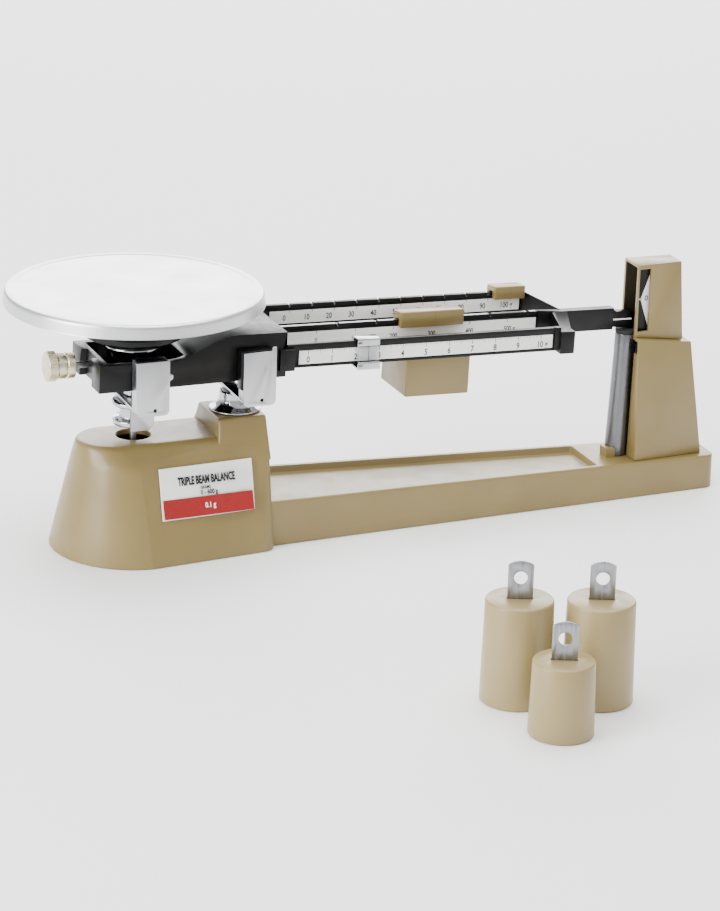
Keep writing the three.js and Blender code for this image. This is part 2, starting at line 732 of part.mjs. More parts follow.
// A bar parallel to the lever's load arm, between the stud's pin and the rod's pin.
function checkLink() {
  const outline = [...arc(panX, linkHeight, 4, 90, 270, 8), ...arc(fulcrumX, linkHeight, 4, -90, 90, 8)];
  const body = prism('y', outline, rodRadius + 2, rodRadius + 4);
  const loose = 0.5;
  return cut(body, rod('y', 1.2 + gap, 0, 12, fulcrumX, linkHeight, 12),
    rod('y', 1.2 + gap + loose, 0, 12, panX, linkHeight, 12));
}

// ---------------------------------------------------------------- poises, in the level beam's heights
function pitchOf(scale) {
  return (barLength - scale.first - scale.last) / scale.steps;
}

function markAt(scale, step) {
  return barLeft + scale.first + step * pitchOf(scale);
}

const rearMark = markAt(rearScale, rearReading / 10);
const middleMark = markAt(middleScale, middleReading / 100);
const frontMark = markAt(frontScale, frontReading);

function poiseProfile(bar, frontReach, backReach, top, frontLow, backLow) {
  const inFront = bar.y - barThickness / 2;
  const inBack = bar.y + barThickness / 2;
  const roof = bar.top + poiseClearance;
  const sag = 1.2;
  return [[inFront - frontReach, frontLow], [inFront - poiseClearance, frontLow],
    [inFront - poiseClearance, roof], [inBack + poiseClearance, roof], [inBack + poiseClearance, backLow],
    [inBack + backReach, backLow], [inBack + backReach, top - sag], [inFront - frontReach, top]];
}

function rearPoiseBlock() {
  const top = rearBar.top + 4.6;
  const left = rearMark - rearPoise.marker;
  const backLow = top - rearPoise.skirt - 8;
  const profile = poiseProfile(rearBar, rearPoise.front, 4.2, top, top - rearPoise.height, backLow);
  return prism('x', profile, left, left + rearPoise.length);
}

function middleSaddle() {
  const top = middleBar.top + 5.7;
  const left = middleMark - middlePoise.marker;
  const low = top - middlePoise.height;
  return prism('x', poiseProfile(middleBar, 4.3, 4.3, top, low, low), left, left + middlePoise.length);
}

function middleHanger() {
  const left = middleMark - middlePoise.marker + 6;
  const back = middleBar.y + barThickness / 2;
  const high = middleBar.top + 5.7 - middlePoise.height - gap;
  const low = middleBar.top - middleBar.height - 1.2 + gap;
  return block(left, left + middlePoise.length - 12, back + poiseClearance, back + 4, low, high);
}

function middleHangingBlock() {
  const left = middleMark - middlePoise.marker;
  const top = middleBar.top - middleBar.height - 1.2;
  return block(left, left + middlePoise.length, middleBar.y - middleBlock.depth / 2,
    middleBar.y + middleBlock.depth / 2, top - middleBlock.height, top);
}

function riderFrame() {
  const left = frontMark - frontRider.length / 2;
  const front = frontBar.y - barThickness / 2;
  const back = frontBar.y + barThickness / 2;
  const top = frontBar.top + 1.8;
  const low = frontBar.top - frontBar.height - 2.2;
  const sheet = 1;
  const face = front - frontRider.reach;
  const outline = [[face, top], [face, top - frontRider.lip], [face + sheet, top - frontRider.lip],
    [face + sheet, top - sheet], [back + poiseClearance, top - sheet], [back + poiseClearance, low + sheet],
    [face - 1, low + sheet], [face - 1, low + frontRider.lip], [face - 2, low + frontRider.lip],
    [face - 2, low],
    [back + poiseClearance + sheet, low], [back + poiseClearance + sheet, top]];
  return prism('x', outline, left, left + frontRider.length);
}

function riderWindow() {
  const left = frontMark - frontRider.length / 2;
  const front = frontBar.y - barThickness / 2;
  const face = front - frontRider.reach;
  const high = frontBar.top + 1.8 - frontRider.lip - gap;
  const low = frontBar.top - frontBar.height - 2.2 + frontRider.lip + gap;
  const outline = [[face - 0.4, low], [face + 0.6, low], [face + 1.2, high], [face + 0.2, high]];
  return prism('x', outline, left + gap, left + frontRider.length - gap);
}

// ---------------------------------------------------------------- post
function postRing(left, length, halfLeft, halfRight, zLeft, zRight) {
  return [[left, -halfLeft, zLeft], [left + length, -halfRight, zRight], [left + length, halfRight, zRight],
    [left, halfLeft, zLeft]];
}

function lowerCover() {
  const throatLow = postLowerHeightLeft - 9.8;
  const foot = (x) => channelTop(x) + gap;
  const rings = (inset, lift) => [
    postRing(postLeft + inset, postLowerLengthFoot - 2 * inset, 17.7 - inset, 12.5 - inset,
      inset ? 0 : foot(postLeft), inset ? 0 : foot(postLeft + postLowerLengthFoot)),
    postRing(postLeft + inset, postLowerLengthTop - 2 * inset, 15 - inset, 11 - inset,
      postLowerHeightLeft - lift, postLowerHeightRight - lift),
  ];
  const footHalf = Math.sqrt(restRadiusFoot ** 2 - (postLeft - restFootX) ** 2) + mouthRoom;
  const topHalf = restRadiusTop + 2.8;
  const mouth = loft([postRing(postLeft - 5, 10, footHalf, footHalf, 0, 0),
    postRing(postLeft - 5, 10, topHalf, topHalf, throatLow + 3, throatLow + 3)]);
  const throat = block(postLeft - 5, postLeft + 5, -13, 13, throatLow, postLowerHeightLeft - postWall);
  const neckWay = block(postLeft - 5, postLeft + 26, -6.5, 6.5, throatLow, postLowerHeightLeft + 5);
  return cut(loft(rings(0, 0)), loft(rings(postWall, postWall)), mouth, throat, neckWay);
}

function upperCover() {
  const open = postLowerHeightLeft - 18.8;
  const rings = (inset, lift) => [
    postRing(postLeft - 0.5 + inset, postUpperLengthFoot - 2 * inset, 10 - inset, 8 - inset,
      inset ? open : postLowerHeightLeft + gap + 0.1, inset ? open : postLowerHeightRight + gap + 0.8),
    postRing(postLeft - 0.3 + inset, postUpperLengthTop - 2 * inset, 9.5 - inset, 7.7 - inset,
      postUpperHeight - lift, postUpperHeight - lift),
  ];
  const sheet = 1.6;
  const side = block(postLeft - 5, postLeft + 4, -7.7, 7.7, open + 10, postUpperHeight - sheet);
  const left = postLeft + 0.9;
  const right = left + windowWidth;
  const slot = prism('y', [[left, windowLow], [right, windowLow], [right, windowHigh], [left, windowHigh]],
    -15, -6);
  return cut(loft(rings(0, 0)), loft(rings(sheet, sheet)), side, slot);
}

function indexPlate() {
  const left = postLeft + 1.6;
  return block(left, left + 14, -6.4, -5.6, windowLow - 2, windowHigh - 1);
}

function beamRest() {
  const ring = (z, x, radius) => circle(x, 0, radius, 20).map(([px, py]) => [px, py, z]);
  const foot = channelTop(restX - 10) + gap;
  const top = restTop() - 2.2 - gap;
  return loft([ring(foot, restFootX, restRadiusFoot), ring(top, restX, restRadiusTop)]);
}

// The nose comes to rest on the cap when the beam is down.
function restTop() {
  const reach = restX - fulcrumX;
  const drop = reach * Math.sin(beamDroop);
  return fulcrumHeight + neckBottomAbove * Math.cos(beamDroop) - drop - 0.4;
}

function restCap() {
  const [low, high, radius] = [restTop() - 2.2, restTop(), restRadiusTop + gap];
  return turned([[0, low], [radius, low], [radius, high], [0, high]], restX, 0, 20);
}

const magnetLeft = postLeft + 8;

function magnetBracket() {
  const foot = channelTop(magnetLeft) + gap;
  const top = magnetLow + magnetHeight + 2;
  const outer = bracketHalfWidth;
  const inner = outer - 1.4;
  const outline = [[-outer, foot], [outer, foot], [outer, top], [inner, top], [inner, foot + 2],
    [-inner, foot + 2], [-inner, top], [-outer, top]];
  return prism('x', outline, magnetLeft, magnetLeft + 16);
}

function magnet(side) {
  const outer = bracketHalfWidth - 1.4 - gap;
  const [y0, y1] = side < 0 ? [-outer, -magnetHalfGap] : [magnetHalfGap, outer];
  return block(magnetLeft + 1, magnetLeft + 15, y0, y1, magnetLow, magnetLow + magnetHeight);
}

// ---------------------------------------------------------------- loose weights
function weightBody(weight) {
  const edge = 1.2;
  const slotted = turned([[0, 0], [weight.radius - 0.6, 0], [weight.radius, 0.6],
    [weight.topRadius, weight.height - edge], [weight.topRadius - 0.4, weight.height - 0.35],
    [weight.topRadius - edge, weight.height], [0, weight.height]], 0, 0, 40);
  const half = tab.width / 2 + gap;
  const room = tab.thickness / 2 + gap;
  return cut(slotted, block(-half, half, -room, room, weight.height - tab.sunk - gap, weight.height + 5));
}

function weightTab(weight) {
  const half = tab.width / 2;
  const low = weight.height - tab.sunk;
  const high = low + tab.sunk + tab.height;
  const bow = 2.2;
  const radius = (half * half + bow * bow) / (2 * bow);
  const sweep = THREE.MathUtils.radToDeg(Math.asin(half / radius));
  const crown = arc(0, high - radius, radius, 90 - sweep, 90 + sweep, 8);
  const outline = [[-half, low], [half, low], ...crown];
  const hole = circle(0, high - tab.holeDrop, tab.holeRadius, 20);
  return prism('y', outline, -tab.thickness / 2, tab.thickness / 2, [hole]);
}

// ---------------------------------------------------------------- assembly
const balance = new THREE.Group();

const base = new THREE.Group();
base.add(piece('base_casting', baseCasting(), 'enamel'));
base.add(piece('bottom_cover', bottomCover(), 'steel'));
coverScrews.forEach(([x, y], i) => base.add(piece(`cover_screw_${i + 1}`, coverScrew(x, y), 'steel')));
base.add(piece('front_label', labelPlate(), 'white'));
base.add(piece('fulcrum_column', fulcrumColumn(), 'chrome'));
base.add(piece('column_stud', columnStud(), 'steel'));
base.add(piece('fulcrum_bridge', stirrupBridge(fulcrumX + fulcrumPlateShift, stirrupBottom), 'chrome'));
base.add(piece('post_lower_cover', lowerCover(), 'enamel'));
base.add(piece('post_upper_cover', upperCover(), 'enamel'));
base.add(piece('index_plate', indexPlate(), 'white'));
base.add(piece('beam_rest', beamRest(), 'steel'));
base.add(piece('rest_cap', restCap(), 'rubber'));
base.add(piece('magnet_bracket', magnetBracket(), 'steel'));
base.add(piece('magnet_front', magnet(-1), 'magnet'));
base.add(piece('magnet_rear', magnet(1), 'magnet'));

// Pieces of the lever are laid out level, then hung together at the droop about the fulcrum.
const lever = new THREE.Group();
lever.position.set(fulcrumX, 0, fulcrumHeight);
lever.rotation.y = beamDroop;
const beam = new THREE.Group();
beam.position.set(-fulcrumX, 0, -fulcrumHeight);
lever.add(beam);
beam.add(piece('beam_casting', beamCasting(), 'black'));
beam.add(piece('rear_beam',
  beamBar(rearBar, rearScale.steps + 1, markAt(rearScale, 0), pitchOf(rearScale)), 'black'));
const middleNotch = markAt(middleScale, 0) + middleNotchAfterMark;
beam.add(piece('middle_beam',
  beamBar(middleBar, middleScale.steps + 1, middleNotch, pitchOf(middleScale)), 'black'));
beam.add(piece('front_beam', beamBar(frontBar, 0, 0, 0), 'black'));
beam.add(piece('rear_scale', scalePlate(rearBar), 'white'));
beam.add(piece('middle_scale', scalePlate(middleBar), 'white'));
beam.add(piece('front_scale', scalePlate(frontBar), 'white'));
beam.add(piece('end_spider', endSpider(), 'black'));
beam.add(piece('damping_vane', dampingVane(), 'steel'));
beam.add(piece('zero_stud', zeroStud(), 'steel'));
beam.add(piece('zero_knob', zeroKnob(), 'brass'));
beam.add(piece('zero_washer', zeroWasher(), 'steel'));
beam.add(piece('rear_poise', rearPoiseBlock(), 'enamel'));
beam.add(piece('middle_poise_saddle', middleSaddle(), 'enamel'));
beam.add(piece('middle_poise_hanger', middleHanger(), 'steel'));
beam.add(piece('middle_poise_block', middleHangingBlock(), 'enamel'));
beam.add(piece('front_rider', riderFrame(), 'chrome'));
beam.add(piece('rider_window', riderWindow(), 'clear'));

const panAssembly = new THREE.Group();
panAssembly.add(piece('load_bridge', join(stirrupBridge(panX, stirrupBottom), stirrupTab()), 'chrome'));
panAssembly.add(piece('pan_spool', panSpool(), 'chrome'));
panAssembly.add(piece('pan_cup', panCup(), 'chrome'));
panAssembly.add(piece('pan_hub', panHub(), 'black'));
panAssembly.add(piece('check_rod', checkRod(), 'steel'));
panAssembly.add(piece('pan', pan(), 'steel'));

const topNib = [[0, 0], [0, -2.4], [2.6, -2.4], [2.6, 0]];
const sideNib = [[0, 12], [-2, 11], [-2, 8.5], [0, 8], [0, 0]];
for (const [side, word] of [[-1, 'front'], [1, 'rear']]) {
  const fulcrumPlate = stirrupPlate(fulcrumX + fulcrumPlateShift, side, stirrupBottom, stirrupBottom + 9.6,
    topNib);
  const loadPlate = stirrupPlate(panX, side, stirrupBottom, stirrupBottom + stirrupHeight, sideNib);
  base.add(piece(`fulcrum_plate_${word}`, fulcrumPlate, 'chrome'));
  base.add(piece(`fulcrum_bearing_${word}`, fulcrumBearing(side), 'black'));
  beam.add(piece(`fulcrum_knife_${word}`, knife(fulcrumX, fulcrumHeight, side, 1), 'steel'));
  beam.add(piece(`load_knife_${word}`, knife(panX, fulcrumHeight, side, -1), 'steel'));
  panAssembly.add(piece(`load_plate_${word}`, loadPlate, 'chrome'));
  panAssembly.add(piece(`load_bearing_${word}`, loadBearing(side), 'black'));
}

const link = new THREE.Group();
link.position.set(fulcrumX, 0, linkHeight);
link.rotation.y = beamDroop;
const linkBar = piece('check_link', checkLink(), 'steel');
linkBar.position.set(-fulcrumX, 0, -linkHeight);
link.add(linkBar);

const weights = new THREE.Group();
for (const [word, size] of [['left', largeWeight], ['right', largeWeight], ['front', smallWeight]]) {
  const [x, y] = weightPlaces[word];
  const stood = (geometry) => geometry.rotateZ(weightTurn).translate(x, y, 0);
  weights.add(piece(`weight_${word}`, stood(weightBody(size)), 'enamel'));
  weights.add(piece(`weight_tab_${word}`, stood(weightTab(size)), 'steel'));
}

balance.add(base, lever, panAssembly, link, weights);

export default balance;
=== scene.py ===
"""The looks of a triple-beam balance: enamelled castings, black beams, a spun pan and plated fittings."""

import json
import math

import bmesh
import bpy
from mathutils import Matrix, Vector


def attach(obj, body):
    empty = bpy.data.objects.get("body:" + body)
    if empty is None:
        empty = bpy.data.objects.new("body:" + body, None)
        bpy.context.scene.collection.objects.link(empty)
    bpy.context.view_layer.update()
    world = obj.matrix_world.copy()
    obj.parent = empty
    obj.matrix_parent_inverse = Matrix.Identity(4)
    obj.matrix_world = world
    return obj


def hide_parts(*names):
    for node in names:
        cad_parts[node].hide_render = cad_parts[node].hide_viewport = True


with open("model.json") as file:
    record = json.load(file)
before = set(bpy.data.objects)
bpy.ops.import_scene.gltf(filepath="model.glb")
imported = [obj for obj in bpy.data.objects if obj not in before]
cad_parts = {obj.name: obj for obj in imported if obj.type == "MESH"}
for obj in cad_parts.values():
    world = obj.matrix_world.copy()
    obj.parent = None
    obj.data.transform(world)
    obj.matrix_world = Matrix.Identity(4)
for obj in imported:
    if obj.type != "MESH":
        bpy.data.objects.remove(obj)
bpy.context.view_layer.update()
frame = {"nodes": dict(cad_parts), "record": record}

MM = 0.001
NODES = frame["nodes"]
RECORD = frame["record"]
BODY_OF = {node: body for body, nodes in RECORD["behaviour"]["bodies"].items() for node in nodes}

# ---------------------------------------------------------------- sizes, in millimetres
PAN_X = -162.5
FULCRUM = (-99.5, 0.0, 108.0)
DROOP = math.radians(1.62)
HOUSING_RIGHT = -86.5
HOUSING_WALL = 3.0
FOOT_RADIUS, FOOT_HALF = 49.0, 42.0  # the housing at the bench: its round end, and half its width
SHOULDER_HEIGHT, SHOULDER_RADIUS, SHOULDER_HALF, SHOULDER_BACK = 56.0, 32.0, 27.3, 4.0
TOP_HEIGHT, TOP_HALF, TOP_BACK = 66.0, 20.0, 14.0
PAD_LEFT = -116.5
PAD_TOP, PAD_HALF = 76.0, 17.5
CHANNEL_HEIGHTS = (27.0, 20.5)  # at the housing and at the far end
CHANNEL_HALVES = (34.0, 20.0)
BASE_RIGHT = 211.5
TRAY_RIGHT = 130.0
BEAM_LEFT = -77.7
BEAM_RIGHT = 93.3
REAR = {"y": 26.0, "top": 129.7, "rail": 3.7, "plate": 8.2, "zero": -57.5, "pitch": 14.315}
MIDDLE = {"y": 1.0, "top": 124.0, "rail": 3.6, "plate": 8.2, "zero": -50.0, "pitch": 24.686}
FRONT = {"y": -24.0, "top": 120.9, "rail": 3.8, "plate": 8.6, "zero": -64.5, "pitch": 14.906}
BAR_HALF = 1.7
NOTCH_AFTER_MARK = 13.6  # from each mark on the middle scale to the notch that holds its poise
POST_MIDDLE = 173.0
REST_FOOT_X, REST_LEAN, REST_LOW, REST_RISE = 151.3, 2.7, 22.11, 77.72
CAP_SHARE = 0.7  # a capital's height as a share of the type's size
TYPE_DEPTH = 0.03
PRINT_GAP = 0.05  # that each layer of ink or lacquer stands off the one below
NOISE_BAND = (0.3, 0.7)  # where nearly all of a noise texture's values lie
CREASE = 4.0  # degrees by which the housing's round end stops short of each flank

LEVER = (
    Matrix.Translation(Vector(FULCRUM))
    @ Matrix.Rotation(DROOP, 4, "Y")
    @ Matrix.Translation(-Vector(FULCRUM))
)
STILL = Matrix.Identity(4)


# ---------------------------------------------------------------- camera, floor and light
def set_camera():
    azimuth, elevation, roll = math.radians(-22.68), math.radians(19.359), math.radians(1.819)
    target, distance = Vector((-19.14, 0.0, 37.88)), 2128.5
    back = Vector((
        math.sin(azimuth) * math.cos(elevation),
        -math.cos(azimuth) * math.cos(elevation),
        math.sin(elevation),
    ))
    right = Vector((math.cos(azimuth), math.sin(azimuth), 0.0))
    up = back.cross(right)
    right, up = (
        right * math.cos(roll) + up * math.sin(roll),
        up * math.cos(roll) - right * math.sin(roll),
    )
    camera = bpy.data.objects.new("camera", bpy.data.cameras.new("camera"))
    camera.matrix_world = Matrix.Translation((target + back * distance) * MM) @ Matrix((
        (right.x, up.x, back.x, 0), (right.y, up.y, back.y, 0), (right.z, up.z, back.z, 0), (0, 0, 0, 1),
    ))
    camera.data.lens = 140.467
    camera.data.sensor_width = 36.0
    camera.data.clip_start = 0.05
    camera.data.clip_end = 20.0
    bpy.context.scene.collection.objects.link(camera)
    bpy.context.scene.camera = camera


def area_light(name, place, aim, size, power, colour=(1.0, 1.0, 1.0)):
    lamp = bpy.data.lights.new(name, "AREA")
    lamp.shape = "RECTANGLE"
    lamp.size, lamp.size_y = size
    lamp.energy = power
    lamp.color = colour
    holder = bpy.data.objects.new(name, lamp)
    holder.location = place
    holder.rotation_euler = (Vector(aim) - Vector(place)).to_track_quat("-Z", "Y").to_euler()
    bpy.context.scene.collection.objects.link(holder)


def set_stage():
    world = bpy.data.worlds.new("studio")
    world.use_nodes = True
    world.node_tree.nodes["Background"].inputs["Color"].default_value = (1.0, 1.0, 1.0, 1.0)
    world.node_tree.nodes["Background"].inputs["Strength"].default_value = 1.0
    bpy.context.scene.world = world
    area_light("left box", (-1.9, -0.5, 0.8), (0.0, 0.0, 0.08), (1.2, 1.1), 62.0)
    area_light("overhead box", (0.1, 0.1, 2.0), (0.0, 0.0, 0.0), (1.8, 1.8), 62.0)
    area_light("far box", (0.9, 2.3, 1.0), (0.0, 0.0, 0.1), (3.0, 1.4), 95.0)
    bpy.ops.mesh.primitive_plane_add(size=12.0, location=(0.0, 0.0, -0.0002))
    floor = bpy.context.object
    floor.name = "floor"
    floor.data.materials.append(FLOOR)


# ---------------------------------------------------------------- materials
def linear(hexcode):
    values = [int(hexcode[i:i + 2], 16) / 255.0 for i in (1, 3, 5)]
    return tuple(v / 12.92 if v <= 0.04045 else ((v + 0.055) / 1.055) ** 2.4 for v in values) + (1.0,)


def add(tree, kind, settings=None, links=None):
    """Adds a node, sets its attributes or sockets and links its inputs."""
    node = tree.nodes.new(kind)
    for key, value in (settings or {}).items():
        if isinstance(key, str) and hasattr(node, key):
            setattr(node, key, value)
        else:
            node.inputs[key].default_value = value
    for key, source in (links or {}).items():
        tree.links.new(source, node.inputs[key])
    return node


def new_material(name, colour, roughness, metallic=0.0, **sockets):
    material = bpy.data.materials.new(name)
    material.use_nodes = True
    tree = material.node_tree
    shader = tree.nodes["Principled BSDF"]
    shader.inputs["Base Color"].default_value = linear(colour)
    shader.inputs["Roughness"].default_value = roughness
    shader.inputs["Metallic"].default_value = metallic
    for key, value in sockets.items():
        shader.inputs[key.replace("_", " ").title()].default_value = value
    material.diffuse_color = linear(colour)
    return material, tree, shader


def grain(tree, size_mm, detail=2.0, stretch=(1.0, 1.0, 1.0), seed=0.0):
    """Noise whose features are about size_mm across, on the piece's own coordinates."""
    place = add(tree, "ShaderNodeTexCoord")
    spread = add(tree, "ShaderNodeMapping", {"Scale": stretch, "Location": (seed, seed, seed)},
                 {"Vector": place.outputs["Object"]})
    return add(tree, "ShaderNodeTexNoise", {"Scale": 1.0 / (size_mm * MM), "Detail": detail},
               {"Vector": spread.outputs["Vector"]})


def vary_colour(tree, shader, source, dark, light):
    ramp = add(tree, "ShaderNodeValToRGB", None, {"Fac": source})
    for element, position, colour in zip(ramp.color_ramp.elements, NOISE_BAND, (dark, light)):
        element.position = position
        element.color = linear(colour)
    tree.links.new(ramp.outputs["Color"], shader.inputs["Base Color"])


def vary_roughness(tree, shader, source, low, high):
    limits = {"To Min": low, "To Max": high, "From Min": NOISE_BAND[0], "From Max": NOISE_BAND[1]}
    spread = add(tree, "ShaderNodeMapRange", limits, {"Value": source})
    tree.links.new(spread.outputs["Result"], shader.inputs["Roughness"])


def raise_surface(tree, shader, source, height_mm):
    bump = add(tree, "ShaderNodeBump", {"Distance": height_mm * MM, "Strength": 1.0}, {"Height": source})
    tree.links.new(bump.outputs["Normal"], shader.inputs["Normal"])


def make_enamel(name, dark, light, roughness):
    # Sprayed semi-gloss enamel on a casting: a faint orange peel breaks up its soft highlights.
    material, tree, shader = new_material(name, light, roughness, Coat_Weight=0.25, Coat_Roughness=0.2)
    vary_colour(tree, shader, grain(tree, 45.0).outputs["Fac"], dark, light)
    patches = grain(tree, 12.0, seed=3.0)
    vary_roughness(tree, shader, patches.outputs["Fac"], roughness - 0.05, roughness + 0.07)
    raise_surface(tree, shader, grain(tree, 1.6, 3.0).outputs["Fac"], 0.03)
    return material


def make_black():
    # Satin black stoving paint: deep black with soft highlights, and a fine texture from the casting.
    material, tree, shader = new_material("black stoving paint", "#060607", 0.34)
    shader.inputs["Specular IOR Level"].default_value = 0.22
    vary_colour(tree, shader, grain(tree, 18.0).outputs["Fac"], "#050506", "#09090a")
    vary_roughness(tree, shader, grain(tree, 5.0, seed=2.0).outputs["Fac"], 0.28, 0.4)
    raise_surface(tree, shader, grain(tree, 0.9, 3.0).outputs["Fac"], 0.02)
    return material


def make_chrome():
    # Bright nickel-chrome plate: a near mirror, greyer than the pan, with a breath of polishing haze.
    material, tree, shader = new_material("bright chrome plate", "#b0b1b4", 0.1, 1.0)
    vary_roughness(tree, shader, grain(tree, 9.0, 4.0).outputs["Fac"], 0.07, 0.15)
    return material


def make_plate_steel():
    # Satin-plated sheet: pale and even, with fine rolling lines across it.
    material, tree, shader = new_material("satin plated sheet", "#b6b7ba", 0.32, 1.0)
    fine = grain(tree, 1.2, 3.0, (1.0, 1.0, 0.08))
    vary_roughness(tree, shader, fine.outputs["Fac"], 0.27, 0.38)
    raise_surface(tree, shader, fine.outputs["Fac"], 0.006)
    return material


def make_steel():
    # Drawn and brushed steel: grey, with long fine lines that stretch its reflections.
    material, tree, shader = new_material("brushed steel", "#98999c", 0.3, 1.0)
    lines = grain(tree, 0.9, 4.0, (1.0, 1.0, 0.06))
    vary_colour(tree, shader, lines.outputs["Fac"], "#85868a", "#a2a3a6")
    vary_roughness(tree, shader, lines.outputs["Fac"], 0.24, 0.4)
    raise_surface(tree, shader, lines.outputs["Fac"], 0.008)
    return material


def make_spun():
    # Spun and satin-finished stainless: turning rings about the pan's centre soften what it reflects.
    material, tree, shader = new_material("spun stainless", "#d6d7d9", 0.3, 1.0)
    place = add(tree, "ShaderNodeTexCoord")
    centred = add(tree, "ShaderNodeMapping", {"Location": (-PAN_X * MM, 0.0, 0.0), "Scale": (1.0, 1.0, 0.0)},
                  {"Vector": place.outputs["Object"]})
    rings = add(tree, "ShaderNodeTexWave",
                {"wave_type": "RINGS", "rings_direction": "Z", "Scale": 1.0 / (20.0 * 1.1 * MM) * 3.14,
                 "Distortion": 0.4, "Detail": 2.0, "Detail Scale": 0.5},
                {"Vector": centred.outputs["Vector"]})
    haze = grain(tree, 25.0, 3.0)
    vary_roughness(tree, shader, haze.outputs["Fac"], 0.28, 0.4)
    raise_surface(tree, shader, rings.outputs["Fac"], 0.006)
    return material


def make_knob():
    # Nickel over brass: pale straw, warmer where the plating has rubbed thin.
    material, tree, shader = new_material("nickelled brass", "#d2c9b0", 0.3, 1.0)
    vary_colour(tree, shader, grain(tree, 5.0, 3.0).outputs["Fac"], "#c6b995", "#ded7c4")
    vary_roughness(tree, shader, grain(tree, 2.0, seed=1.0).outputs["Fac"], 0.22, 0.36)
    return material


def make_print():
    # White stoved lacquer on the scale plates: clean, a little shiny, with a trace of yellowing.
    material, tree, shader = new_material("white scale lacquer", "#f1f1ef", 0.38)
    vary_colour(tree, shader, grain(tree, 22.0).outputs["Fac"], "#ebebe8", "#f4f4f2")
    raise_surface(tree, shader, grain(tree, 1.5).outputs["Fac"], 0.01)
    return material


def make_plain(name, colour, roughness, grain_mm, height_mm, metallic=0.0):
    # An even coat whose shine wanders a little over its own fine grain.
    material, tree, shader = new_material(name, colour, roughness, metallic)
    fine = grain(tree, grain_mm, 3.0)
    vary_roughness(tree, shader, fine.outputs["Fac"], roughness - 0.06, roughness + 0.08)
    raise_surface(tree, shader, fine.outputs["Fac"], height_mm)
    return material


def make_clear():
    # Clear acrylic: bright edges, a slight smear on its face.
    material, tree, shader = new_material("clear acrylic", "#f2f5f5", 0.05, Transmission_Weight=1.0)
    shader.inputs["IOR"].default_value = 1.49
    vary_roughness(tree, shader, grain(tree, 4.0).outputs["Fac"], 0.03, 0.12)
    return material


# The castings and poises: warm khaki, smooth and softly lit.
TAN = make_enamel("tan enamel", "#776536", "#7f6d3d", 0.42)
# The loose weights: the same enamel, a shade paler.
CREAM = make_enamel("tan enamel on the weights", "#8d7c50", "#968458", 0.42)
# Inside the post: a nearly black, dull painted shade that stands for the shadow there, so the opening reads
# as deep.
POST_INSIDE_PAINTED_SHADE = make_plain("painted shade inside the post", "#332c17", 0.75, 2.0, 0.02)
# The beams and bearings.
BLACK = make_black()
# The turned fittings and the rider.
CHROME = make_chrome()
# The stirrup plates.
SHEET = make_plate_steel()
# Tabs, screws, rods and knives.
STEEL = make_steel()
# The pan.
SPUN = make_spun()
# The zero knob.
KNOB = make_knob()
# The scale plates and the label.
WHITE = make_print()
# Numbers and lines on white: dense and matt.
INK = make_plain("black printing ink", "#0c0c0e", 0.5, 0.8, 0.003)
# The index plate's zero: a cooler, fainter ink.
BLUE = make_plain("blue-grey printing ink", "#4c5878", 0.5, 0.8, 0.003)
# Index lines on the poises: barely darker than the enamel.
FAINT = make_plain("tan ink on the poises", "#6b5f3e", 0.5, 0.8, 0.003)
# The label's band: strong signal red, matt.
RED = make_plain("red printing ink", "#8c0000", 0.6, 1.5, 0.004)
# The beam rest: dark plated tube with long smooth reflections.
GREY = make_plain("grey plated tube", "#6c6d70", 0.3, 9.0, 0.002, 0.9)
# The rest's cap: matt and slightly grained.
RUBBER = make_plain("black rubber", "#161616", 0.75, 0.7, 0.03)
# The damper: dark grey and gritty.
MAGNET = make_plain("sintered magnet", "#3c3d41", 0.55, 0.6, 0.04, 0.4)
# The rider's window.
CLEAR = make_clear()
# The bench under it: pale, with no gloss of its own.
FLOOR = make_plain("pale paper floor", "#fafafa", 0.8, 6.0, 0.01)


# ---------------------------------------------------------------- mesh helpers
def evaluated(source, name):
    bpy.context.view_layer.update()
    graph = bpy.context.evaluated_depsgraph_get()
    mesh = bpy.data.meshes.new_from_object(source.evaluated_get(graph))
    mesh.name = name
    return mesh


def place_piece(name, mesh, material, body, smooth=32.0):
    if material is not None:
        mesh.materials.clear()
        mesh.materials.append(material)
        mesh.polygons.foreach_set("material_index", [0] * len(mesh.polygons))
    mesh.polygons.foreach_set("use_smooth", [True] * len(mesh.polygons))
    mesh.set_sharp_from_angle(angle=math.radians(smooth))
    mesh.update()
    piece = bpy.data.objects.new(name, mesh)
    bpy.context.scene.collection.objects.link(piece)
    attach(piece, body)
    return piece


def bevelled(mesh, width_mm, segments=2, angle=28.0):
    """Rounds the sharp edges of a closed mesh and returns the new mesh."""
    holder = bpy.data.objects.new("bevelling", mesh)
    bpy.context.scene.collection.objects.link(holder)
    bevel = holder.modifiers.new("edges", "BEVEL")
    bevel.width = width_mm * MM
    bevel.segments = segments
    bevel.limit_method = "ANGLE"
    bevel.angle_limit = math.radians(angle)
    result = evaluated(holder, mesh.name)
    bpy.data.objects.remove(holder)
    return result


def tidy_mesh(mesh):
    """Welds a faceted node's vertices and melts its flat facets together."""
    work = bmesh.new()
    work.from_mesh(mesh)
    bmesh.ops.remove_doubles(work, verts=work.verts, dist=0.00001)
    bmesh.ops.dissolve_limit(work, angle_limit=math.radians(0.6), verts=work.verts, edges=work.edges)
    work.to_mesh(mesh)
    work.free()


def finish_node(node, material, width_mm, segments=2, angle=28.0, smooth=32.0):
    """A merged copy of a CAD node with its edges eased, which stands for the node."""
    mesh = NODES[node].data.copy()
    mesh.name = node + "_look"
    tidy_mesh(mesh)
    if width_mm:
        mesh = bevelled(mesh, width_mm, segments, angle)
    piece = place_piece(node + "_look", mesh, material, BODY_OF[node], smooth)
    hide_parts(node)
    return piece


